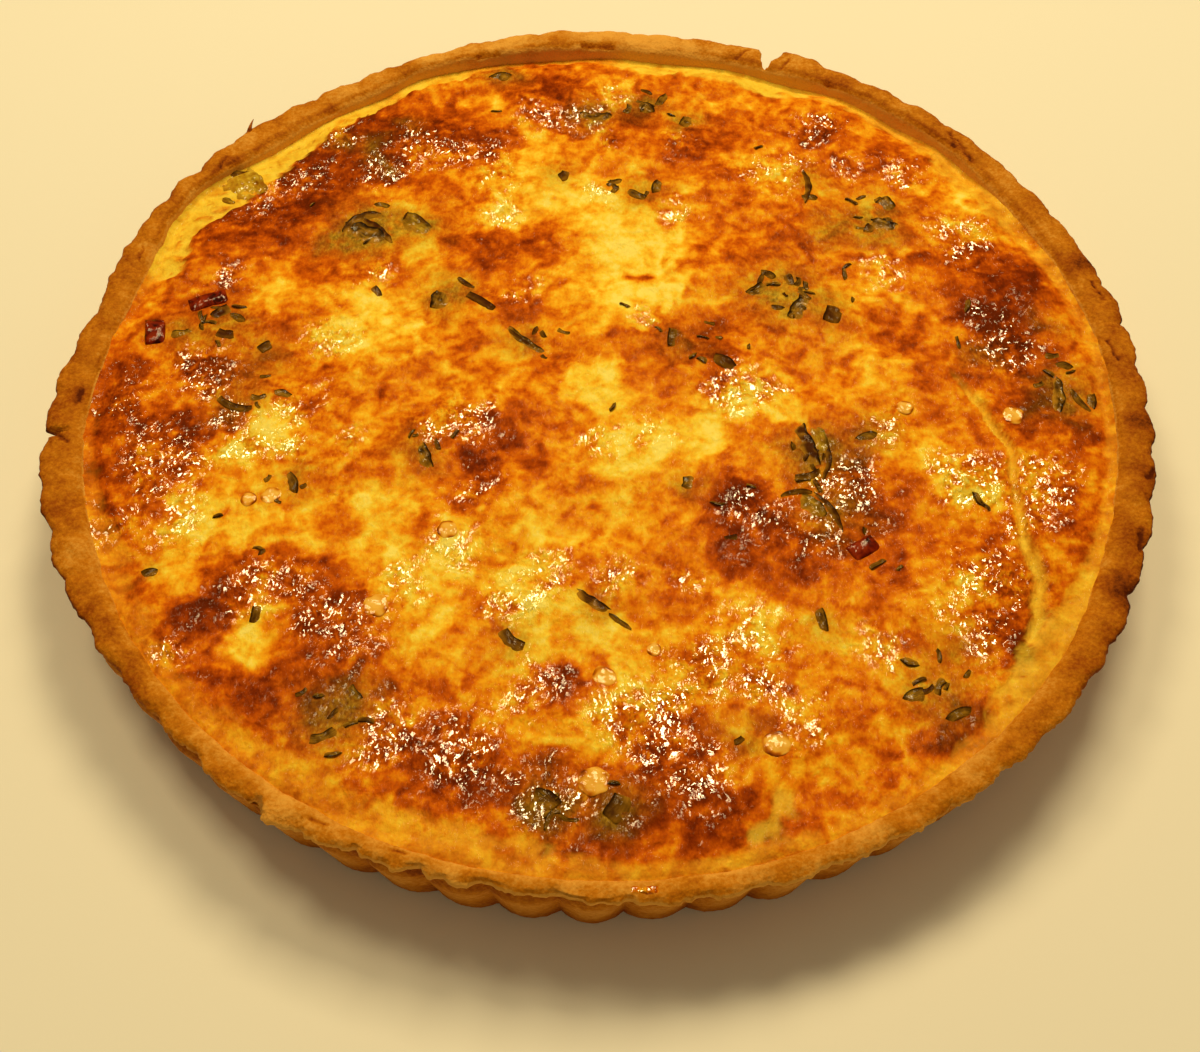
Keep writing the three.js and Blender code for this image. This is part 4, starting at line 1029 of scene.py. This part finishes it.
def build_shell(shell):
    profile = shell_profile(shell)
    piece = turned("pastry_shell", profile[:, :2], SHELL_COLUMNS)
    places = corners_of(piece)
    # What is known of each corner: its place on the plain turned shell, and what the profile says there.
    at = types.SimpleNamespace(radius=np.hypot(places[:, 0], places[:, 1]), height=places[:, 2].copy())
    at.angle = np.arctan2(places[:, 1], places[:, 0])
    ring = np.argmin(np.hypot(at.radius[:, None] - profile[:, 0], at.height[:, None] - profile[:, 1]), axis=1)
    at.fluted, at.lip, at.wall, at.uneven, at.ragged = (profile[ring, k] for k in range(2, 7))
    at.front = smooth(-np.sin(at.angle), 0.35, 0.95)
    at.bulge = filled_flutes(shell, at)

    out = shell_outline(at)
    x, y = out * np.cos(at.angle), out * np.sin(at.angle)
    up = at.height + at.uneven * RIM_UNEVENNESS * np.sin(7 * at.angle + 2)
    up += at.uneven * (0.4 * waves(x, y, 9, 21) + 0.3 * waves(x, y, 3.6, 22))
    out += at.uneven * at.fluted * 0.3 * waves(x, y + at.height, 5, 23)
    out, up, torn = break_rim(at, x, y, out, up)
    cracked = cracks_at(x, y) * at.uneven
    up = up - 0.5 * cracked
    move_corners(piece, np.column_stack([out * np.cos(at.angle), out * np.sin(at.angle), up]))
    paint(piece, "toast", baking_of_shell(shell, at, x, y, cracked, torn))

    for size, share in CRUMB:
        apply_displace(piece, size, share * shell.crumb_height / MM)
    places = corners_of(piece)
    under = ring < BASE_RINGS
    places[under, 2] = profile[ring[under], 1]
    low, high = (np.array(corner) / MM for corner in CAD_BOX)
    move_corners(piece, np.clip(places, low + (BOX_GAP, BOX_GAP, 0), high - BOX_GAP))
    smooth_faces(piece)
    return piece


def rim_splinter(angle, radius, height, reach, rise, hook, width):
    """A flake of dough that has torn off the lip and stands outwards, hooked to one side."""
    flake = slab("rim_splinter", columns=20, rows=8)
    square = corners_of(flake)
    along = np.clip((square[:, 0] + 1) / 2, 0, 1)
    narrow = 1 - 0.88 * along**1.2
    side = square[:, 1] * width / 2 + 0.25 * waves(9 * along, square[:, 1], 2, 15)
    side = side * narrow + hook * along**2
    out = radius + reach * along**0.8
    up = height + rise * along - 0.5 * (square[:, 1] * narrow) ** 2 + 1.5 * square[:, 2] * narrow
    turn = math.radians(angle)
    x, y = out * math.cos(turn) - side * math.sin(turn), out * math.sin(turn) + side * math.cos(turn)
    move_corners(flake, np.column_stack([x, y, np.minimum(up, HIGHEST - BOX_GAP)]))
    paint(flake, "toast", 0.55 + 0.35 * along + 0.3 * waves(x, y, 1.6, 16))
    return flake


def bare_custard(x, y, from_wall, wedge_x, wedge_y):
    """How bare the custard is beside the wall and in the wedge, and where the skin ends in a raised edge."""
    angle = np.arctan2(y, x)
    given = np.array(BARE_STRIP)
    strip, yellow = (np.interp(np.degrees(angle), given[:, 0], given[:, k]) for k in (1, 2))
    strip = strip * (1 + 0.16 * waves(x, y, 14, 71)) + 1.1 * waves(x, y, 4.5, 72) + 0.7 * waves(x, y, 1.8, 73)
    # At the back right the skin ends softly.
    melts_in = smooth(np.cos(angle), -0.25, 0.15) * smooth(np.sin(angle), 0, 0.4)
    bare = (1 - smooth(from_wall, strip - 0.7 - 0.4 * melts_in, strip + 0.7 + 1.2 * melts_in)) * yellow
    flecks = smooth(waves(x, y, 2.6, 76) + 0.5 * waves(x, y, 1.2, 77), 0.42, 0.7)
    bare *= 1 - 0.75 * flecks * smooth(from_wall, 1, 4)
    blotches = smooth(waves(x, y, 5, 78), 0.3, 0.55) * smooth(from_wall, strip - 6, strip - 1)
    bare *= 1 - 0.8 * blotches
    wedge = distance_to_path(wedge_x, wedge_y, BARE_WEDGE)[0]
    bare = np.maximum(bare, 0.6 * (1 - smooth(wedge, WEDGE_WIDTH - 1, WEDGE_WIDTH + 0.6)))
    skin_edge = np.exp(-(((from_wall - strip - 1.0) / 1.0) ** 2)) * yellow * (1 - 0.8 * melts_in)
    return bare, skin_edge


def skin_marks(custard, x, y):
    """What the skin is like at each place: browned, bare, leek under it, crumpled, and its fine relief."""
    angle = np.arctan2(y, x)
    from_wall = inner_radius(angle, CRUST_HEIGHT) - np.hypot(x, y)
    wx, wy = warped(x, y, 3.4, 9, 51)
    wx, wy = warped(wx, wy, 1.5, 3.5, 53)
    patches = spots(wx, wy, PATCHES)
    browning = custard.browning + np.where(
        patches > 0, 0.48 * np.tanh(patches / 0.5), 0.34 * np.tanh(patches / 0.35)
    )
    browning += 0.09 * waves(wx, wy, 13, 61) + 0.16 * waves(wx, wy, 6.5, 62) + 0.15 * waves(wx, wy, 3.2, 63)
    # Beside the wall the skin has browned little, but more on the left.
    left = smooth(-np.cos(angle), 0.7, 0.97)
    beside_wall = 0.6 * (1 - smooth(from_wall, 1.5 * (1 - left), 6)) * (1 - 0.5 * left)
    browning += beside_wall * (0.46 + 0.14 * left + 0.2 * waves(x, y, 7, 64) - browning)
    bare, skin_edge = bare_custard(x, y, from_wall, wx, wy)

    # The split is a groove with a raised bank on its left.
    split, side = distance_to_path(wx * 0.3 + x * 0.7, wy * 0.3 + y * 0.7, SPLIT_PATH)
    opening = 0.75 + 0.65 * smooth(-y, 42, 54)
    groove = np.exp(-((split / opening) ** 2)) * smooth(-y, -6, 8)
    bank = np.exp(-(((side + 2.2) / 1.5) ** 2)) * (split < 6) * smooth(-y, 0, 10)
    bare = np.maximum(bare, 0.85 * np.exp(-((split / (opening * 1.1)) ** 4)) * smooth(-y, -6, 8))

    browning = np.clip(browning + 0.2 * skin_edge, 0.02, 1)
    leek = np.clip(1.3 * spots(wx, wy, LEEK_SHADOWS), 0, 1) * (1 - bare)
    crumple = spots(wx, wy, [(*crumpled, 1) for crumpled in CRUMPLED])
    crumple = np.clip(crumple * (0.85 + 0.5 * waves(x, y, 7, 74)) + 0.2 * smooth(browning, 0.55, 0.8), 0, 1)
    crumple *= 1 - 0.9 * bare
    pits = smooth(waves(x, y, 2.1, 75), 0.35, 0.7) * bare

    relief = 0.34 * waves(wx, wy, 10, 81) + 0.16 * waves(wx, wy, 5, 84)
    wrinkles = (creases(wx, wy, 5, 82) - 0.45) + 0.7 * (creases(x, y, 3, 83) - 0.45)
    relief += custard.wrinkle_height / MM * crumple * wrinkles
    relief += 0.4 * skin_edge - 0.6 * bare - 0.25 * pits + 0.6 * bank - 1.3 * groove
    relief *= smooth(from_wall, -0.2, 1.5)
    return browning, bare, leek, crumple, relief


def build_custard(custard):
    piece = flat_grid("custard", SKIN_STEPS, SKIN_STEPS)
    square = corners_of(piece)
    # The square is drawn in to a disc, ring by ring, so that its cells stay much alike.
    u, v = square[:, 0], square[:, 1]
    wide = np.abs(u) >= np.abs(v)
    share = np.where(wide, np.abs(u), np.abs(v))
    safe = np.where(share == 0, 1, share)
    quarter = math.pi / 4
    angle = np.where(
        wide,
        np.where(u >= 0, quarter * v / safe, math.pi + quarter * v / -safe),
        np.where(v >= 0, math.pi / 2 - quarter * u / safe, 3 * math.pi / 2 + quarter * u / safe),
    )
    # The custard has risen on to the rim's rounded inner edge, except at the back, and ends in a thin edge.
    climbs = 1 - smooth(np.sin(angle), 0.2, 0.8)
    wall = inner_radius(angle, CRUST_HEIGHT)
    reach = wall + SKIN_CLING + CLIMB_REACH * climbs
    x, y = share * reach * np.cos(angle), share * reach * np.sin(angle)
    browning, bare, leek, crumple, relief = skin_marks(custard, x, y)
    z = skin_height(x, y) + relief
    thin = climbs * smooth(share * reach - wall, -1.6, CLIMB_REACH)
    rim = CRUST_HEIGHT - 0.8 + RIM_UNEVENNESS * np.sin(7 * angle + 2)
    z += thin * (rim - 0.9 * thin - z)
    z = np.minimum(z, HIGHEST - 3 * BOX_GAP)
    move_corners(piece, np.column_stack([x, y, z]))
    marks = {"browning": browning, "bare": bare, "leek_under": leek, "crumple": crumple}
    for name, amounts in marks.items():
        paint(piece, name, amounts)

    # The edge of the skin is drawn down the wall and closed below.
    select_only(piece)
    bpy.ops.object.mode_set(mode="EDIT")
    bpy.ops.mesh.select_mode(type="VERT")
    bpy.ops.mesh.select_all(action="DESELECT")
    bpy.ops.mesh.select_non_manifold()
    low = (FILL_LEVEL - FLOOR_THICKNESS - FILLING_GAP - 4) * MM
    for down, inwards in ((low, 0.985), (1.5 * MM, 0.985)):
        bpy.ops.mesh.extrude_edges_move(TRANSFORM_OT_translate={"value": (0, 0, -down)})
        bpy.ops.transform.resize(value=(inwards, inwards, 1), center_override=(0, 0, 0))
    bpy.ops.mesh.edge_face_add()
    bpy.ops.mesh.select_all(action="SELECT")
    bpy.ops.mesh.normals_make_consistent(inside=False)
    bpy.ops.object.mode_set(mode="OBJECT")
    smooth_faces(piece)
    return piece


def slab(name, columns, rows):
    """A closed slab from -1 to 1 each way and 1 mm thick, ready to be laid in the skin."""
    piece = flat_grid(name, columns, rows)
    solidify = piece.modifiers.new("thickness", "SOLIDIFY")
    solidify.thickness = MM
    solidify.offset = 0
    bpy.ops.object.modifier_apply(modifier=solidify.name)
    smooth_faces(piece)
    return piece


def along_arc(along, turn, bend, length):
    """Places along an arc, from its middle, and the heading at each. The bend is from end to end."""
    start, curve = math.radians(turn), math.radians(bend) / length
    heading = start + curve * along
    if abs(curve) < 1e-6:
        return along * math.cos(start), along * math.sin(start), heading
    return (np.sin(heading) - math.sin(start)) / curve, (math.cos(start) - np.cos(heading)) / curve, heading


def lay_in_skin(
    piece,
    custard,
    place,
    thickness,
    lift,
    curl,
    ragged,
    seed,
    point=0.0,
    bend=0.0,
    crisp=0.0,
    sunk=1.0,
    stiff=False,
):
    """Bends a slab along an arc and lays it in the skin: one edge sinks into it, the other stands up."""
    x, y, turn, length, width = place
    square = corners_of(piece)
    along, across, height = square[:, 0] * length / 2, square[:, 1], square[:, 2]
    mid_x, mid_y, heading = along_arc(along, turn, bend, length)
    end = np.abs(2 * along / length)
    broad = min(1, width / 3)
    pointed = 1 - point * end**2.2
    worn = 1 + ragged * waves(along + 40 * seed, 5 * np.sign(across), 2.4, 91)
    sway = 0.12 * min(1, 4 * ragged) * width * waves(along + 13 * seed, 0 * along, 4, 94)
    side = across * width / 2 * pointed * worn + sway
    px = x + mid_x - side * np.sin(heading)
    py = y + mid_y + side * np.cos(heading)

    stands = curl * smooth(across, 0.2, 1) * (0.6 + 0.8 * waves(along + 9 * seed, 0 * along, 5, 92))
    sinks = sunk * (SUNK_EDGE * smooth(-across, 0.1, 1) + SUNK_END * smooth(end, 0.6, 1)) * broad
    wave = 0.12 * np.sin(5 * along / length + seed) + DIP * broad * waves(px, py, 2.6, 93)
    thinning = 1 - 0.8 * np.maximum(np.abs(across) ** 3, end**8)
    on_skin = skin_height(px, py) + skin_marks(custard, px, py)[4]
    if stiff:
        plane = np.column_stack([px, py, np.ones_like(px)])
        on_skin = plane @ np.linalg.lstsq(plane, on_skin, rcond=None)[0]
        wave *= 0.2
    pz = on_skin + lift + stands - sinks + wave + height * thickness * thinning
    move_corners(piece, np.column_stack([px, py, np.minimum(pz, HIGHEST - BOX_GAP)]))

    pale = max(0.0, -crisp) ** 0.3
    dark = smooth(across + 0.3 * waves(along + 5 * seed, 3 * across, 2, 95), 0.55, 0.95)
    melts = 0.9 * smooth(-across, -0.2, 0.9) + 0.8 * smooth(end, 0.6, 1) + 0.7 * waves(px, py, 1.9, 99)
    paint(piece, "edge", np.clip(dark * (1 - 0.9 * pale), 0, 1))
    paint(piece, "melt", np.clip(sunk * melts * broad * (1 - dark), 0, 1))
    paint(piece, "crisp", np.full(len(px), max(0.0, crisp)))
    paint(piece, "pale", np.full(len(px), pale))
    return piece


def build_blister(x, y, radius):
    """A low, dented dome in the skin, with a browned ring that is broken here and there."""
    base = float(skin_height(np.array([float(x)]), np.array([float(y)]))[0])
    clear_selection()
    bpy.ops.mesh.primitive_uv_sphere_add(segments=28, ring_count=14, radius=radius * MM)
    dome = bpy.context.active_object
    dome.name = "blister"
    places = corners_of(dome)
    flat = np.hypot(places[:, 0], places[:, 1]) / radius
    dent = DOME_DENT * np.exp(-((flat / 0.55) ** 2))
    places[:, :2] *= (1 + 0.2 * waves(places[:, 0] + 3 * x, places[:, 1] + 3 * y, 3, 100))[:, None]
    places[:, 2] = places[:, 2] / radius * BLISTER_RISE - dent * (places[:, 2] > 0)
    places[:, 2] += 0.12 * waves(places[:, 0] + x, places[:, 1] + y, 1.6, 96)
    move_corners(dome, np.minimum(places + (x, y, base), (np.inf, np.inf, HIGHEST - BOX_GAP)))
    broken = 0.5 + 1.2 * waves(places[:, 0] + x, places[:, 1] + y, 2.2, 101)
    paint(dome, "browning", 0.2 + np.clip(broken, 0.1, 1) * 0.7 * smooth(flat, 0.5, 0.9))
    smooth_faces(dome)
    return dome


def build_spill():
    """The thin bit of custard that has baked on to the rim and hangs a little over its edge."""
    x, y, turn, length, width = SPILL
    spill = slab("custard_spill", columns=36, rows=12)
    square = corners_of(spill)
    along, across = square[:, 0] * length / 2, square[:, 1] * width / 2
    across = across * (1 - 0.6 * square[:, 0] ** 4) + 0.5 * waves(along, 0 * along, 3, 97)
    heading = math.radians(turn)
    px = x + along * math.cos(heading) - across * math.sin(heading)
    py = y + along * math.sin(heading) + across * math.cos(heading)
    thick = 1 - np.maximum(np.abs(square[:, 0]), np.abs(square[:, 1])) ** 4
    hangs = 0.35 * np.clip(-py - SPILL_EDGE, 0, 4) ** 1.5
    pz = CRUST_HEIGHT - 1.0 - hangs + (0.8 * square[:, 2] + 0.3) * thick + 0.25 * waves(px, py, 2.2, 98)
    move_corners(spill, np.column_stack([px, np.maximum(py, CAD_BOX[0].y / MM + 2 * BOX_GAP), pz]))
    for name, amount in (("browning", 0.5), ("bare", 0.0), ("crumple", 1.0)):
        paint(spill, name, np.full(len(px), amount))
    return spill


def joined(name, pieces):
    """Joins pieces to one object."""
    clear_selection()
    for piece in pieces:
        piece.select_set(True)
    bpy.context.view_layer.objects.active = pieces[0]
    if len(pieces) > 1:
        bpy.ops.object.join()
    whole = bpy.context.active_object
    whole.name = whole.data.name = name
    return whole


# ---------------------------------------------------------------- operators


class QUICHE_OT_shell(bpy.types.Operator):
    """Build the fluted shortcrust shell, with its ragged lip, worn rim and splinters"""

    bl_idname = "quiche.shell"
    bl_label = "Shell"

    def execute(self, context):
        shell = context.scene.quiche_shell
        parts = [build_shell(shell)] + [rim_splinter(*splinter) for splinter in SPLINTERS]
        hand_over(joined("pastry_shell", parts), ["crust"], baked_shortcrust(shell))
        return {"FINISHED"}


class QUICHE_OT_custard(bpy.types.Operator):
    """Build the egg custard with its browned, crumpled skin"""

    bl_idname = "quiche.custard"
    bl_label = "Custard"

    def execute(self, context):
        custard = context.scene.quiche_custard
        hand_over(build_custard(custard), ["filling"], baked_custard(custard))
        return {"FINISHED"}


class QUICHE_OT_blisters(bpy.types.Operator):
    """Build the blisters that steam has raised in the skin, and the custard that has spilt on the rim"""

    bl_idname = "quiche.blisters"
    bl_label = "Blisters and spill"

    def execute(self, context):
        custard = context.scene.quiche_custard
        parts = [build_blister(*blister) for blister in BLISTERS]
        hand_over(joined("blisters", parts), ["filling"], steam_blister(custard))
        hand_over(build_spill(), ["filling"], baked_custard(custard))
        return {"FINISHED"}


class QUICHE_OT_leek(bpy.types.Operator):
    """Build the leek leaves that lie in the skin, one piece for each"""

    bl_idname = "quiche.leek"
    bl_label = "Leek leaves"

    def execute(self, context):
        custard = context.scene.quiche_custard
        material = cooked_leek(context.scene.quiche_topping)
        for k, strips in enumerate(LEEK_LEAVES, 1):
            parts = []
            for j, (x, y, turn, length, width, bend, point, crisp) in enumerate(strips):
                whole = crisp <= LEAF_PALE
                strip = lay_in_skin(
                    slab(f"leek_leaf_{k}", columns=max(16, int(length * 3)), rows=max(6, int(width * 3))),
                    custard,
                    (x, y, turn, length, width),
                    thickness=0.4,
                    lift=0.12 + 0.16 * (j > 0),
                    curl=0.45,
                    ragged=0.12 if whole else 0.25,
                    point=point,
                    bend=bend,
                    crisp=crisp,
                    sunk=0.5 if whole else 1.0,
                    seed=k + 50 * j,
                )
                parts.append(strip)
            hand_over(joined(f"leek_leaf_{k}", parts), [f"leek_{k}"], material)
        return {"FINISHED"}


class QUICHE_OT_ham(bpy.types.Operator):
    """Build the square-cornered ham chips that lie in the skin"""

    bl_idname = "quiche.ham"
    bl_label = "Ham chips"

    def execute(self, context):
        custard = context.scene.quiche_custard
        material = browned_ham(context.scene.quiche_topping)
        for k, (x, y, turn, length, width) in enumerate(HAM_CHIPS, 1):
            chip = lay_in_skin(
                slab(f"ham_chip_{k}", columns=16, rows=10),
                custard,
                (x, y, turn, length, width),
                thickness=1.1,
                lift=0.3,
                curl=0.1,
                ragged=0.05,
                sunk=0.7,
                stiff=True,
                seed=20 + k,
            )
            hand_over(chip, [f"ham_{k}"], material)
        return {"FINISHED"}


class QUICHE_OT_shreds(bpy.types.Operator):
    """Build the small shreds of leek that have baked into the skin"""

    bl_idname = "quiche.shreds"
    bl_label = "Leek shreds"

    def execute(self, context):
        custard = context.scene.quiche_custard
        topping = context.scene.quiche_topping
        draws = np.random.default_rng(5)
        places = list(SHREDS)
        for x, y, reach, count in SHRED_CLUSTERS:
            for _ in range(count):
                away, turn = reach * math.sqrt(draws.random()), draws.random() * 2 * math.pi
                size = draws.random()
                place = (x + away * math.cos(turn), y + away * math.sin(turn), draws.random() * 360)
                if math.hypot(*place[:2]) < SHREDS_WITHIN:
                    width = 0.9 + 1.6 * size * draws.random()
                    places.append((*place, 1.6 + 3.4 * size, width, draws.random() ** 2))
        model = slab("leek_shreds", columns=7, rows=4)
        shreds = []
        for k, (x, y, turn, length, width, crisp) in enumerate(places):
            drawn = k < len(SHREDS)
            shred = model.copy()
            shred.data = model.data.copy()
            context.collection.objects.link(shred)
            lay_in_skin(
                shred,
                custard,
                (x, y, turn, length * topping.shred_size, width * topping.shred_size),
                thickness=0.4,
                lift=0.18 if drawn else 0.1,
                curl=0.3,
                ragged=0.12 if drawn else 0.3,
                sunk=0.8 - 0.5 * crisp if drawn else 1.0,
                point=0.15,
                bend=60 * math.sin(k),
                crisp=crisp,
                seed=40 + k,
            )
            shreds.append(shred)
        bpy.data.objects.remove(model)
        hand_over(joined("leek_shreds", shreds), ["filling"], cooked_leek(topping))
        return {"FINISHED"}


class QUICHE_OT_stage(bpy.types.Operator):
    """Set up the plain floor, the soft lights and the camera"""

    bl_idname = "quiche.stage"
    bl_label = "Stage"

    def execute(self, context):
        settings = context.scene.quiche_stage
        clear_selection()
        bpy.ops.mesh.primitive_plane_add(size=8)
        floor = context.active_object
        floor.name = "floor"
        # Painted board: smooth, pale and matt.
        material, node = new_material("matt_painted_board")
        shader = node("BsdfPrincipled", {"Base Color": settings.floor, "Roughness": 0.8, "IOR": 1.45})
        node("OutputMaterial", {"Surface": shader})
        floor.data.materials.append(material)

        # The lamps show in the gloss, and the large soft lights only fill the shadows.
        lights = (
            ("key_lamp", (0.2, 0.62, 1.05), 0.38, settings.key_power, True),
            ("side_lamp", (-0.42, 0.4, 1.1), 0.32, 0.57 * settings.key_power, True),
            ("overhead_light", (0.1, 0.1, 1.6), 1.2, settings.fill_power, False),
            ("front_light", (0.5, -1.1, 0.7), 0.9, 1.15 * settings.fill_power, False),
        )
        for name, place, size, power, in_gloss in lights:
            bpy.ops.object.light_add(type="AREA", location=place)
            light = context.active_object
            light.name = name
            light.data.size = size
            light.data.energy = power
            light.data.color = linear("#ffe8ae")[:3]
            light.visible_glossy = in_gloss
            aim = Vector((0, 0, 20 * MM)) - Vector(place)
            light.rotation_euler = aim.to_track_quat("-Z", "Y").to_euler()

        world = bpy.data.worlds.new("studio")
        world.use_nodes = True
        background = world.node_tree.nodes["Background"]
        background.inputs["Color"].default_value = linear("#ffe7b4")
        background.inputs["Strength"].default_value = 0.13
        world.cycles_visibility.glossy = False
        context.scene.world = world
        context.scene.view_settings.view_transform = "Standard"
        context.scene.view_settings.look = "None"

        bpy.ops.object.camera_add(
            location=(1.3 * MM, -248.2 * MM, 318.6 * MM),
            rotation=(math.radians(34.78), 0, math.radians(0.42)),
        )
        camera = context.active_object
        camera.data.lens = settings.lens
        camera.data.clip_start = 0.01
        context.scene.camera = camera
        return {"FINISHED"}


class QUICHE_PT_panel(bpy.types.Panel):
    """Lists the steps that build the quiche, and their settings"""

    bl_label = "Quiche"
    bl_idname = "QUICHE_PT_panel"
    bl_space_type = "VIEW_3D"
    bl_region_type = "UI"
    bl_category = "Quiche"

    def draw(self, context):
        for step in STEPS:
            self.layout.operator(step.bl_idname)
        for group in SETTINGS:
            box = self.layout.box()
            for name in SETTINGS[group].__annotations__:
                box.prop(getattr(context.scene, group), name)


SETTINGS = {
    "quiche_shell": ShellSettings,
    "quiche_custard": CustardSettings,
    "quiche_topping": ToppingSettings,
    "quiche_stage": StageSettings,
}
STEPS = (
    QUICHE_OT_shell,
    QUICHE_OT_custard,
    QUICHE_OT_blisters,
    QUICHE_OT_leek,
    QUICHE_OT_ham,
    QUICHE_OT_shreds,
    QUICHE_OT_stage,
)


def register():
    for kind in (*SETTINGS.values(), *STEPS, QUICHE_PT_panel):
        bpy.utils.register_class(kind)
    for name, kind in SETTINGS.items():
        setattr(bpy.types.Scene, name, bpy.props.PointerProperty(type=kind))


def unregister():
    for name in SETTINGS:
        delattr(bpy.types.Scene, name)
    for kind in reversed((*SETTINGS.values(), *STEPS, QUICHE_PT_panel)):
        bpy.utils.unregister_class(kind)


def main():
    register()
    bpy.ops.quiche.shell()
    bpy.ops.quiche.custard()
    bpy.ops.quiche.blisters()
    bpy.ops.quiche.leek()
    bpy.ops.quiche.ham()
    bpy.ops.quiche.shreds()
    bpy.ops.quiche.stage()


if __name__ == "__main__":
    main()
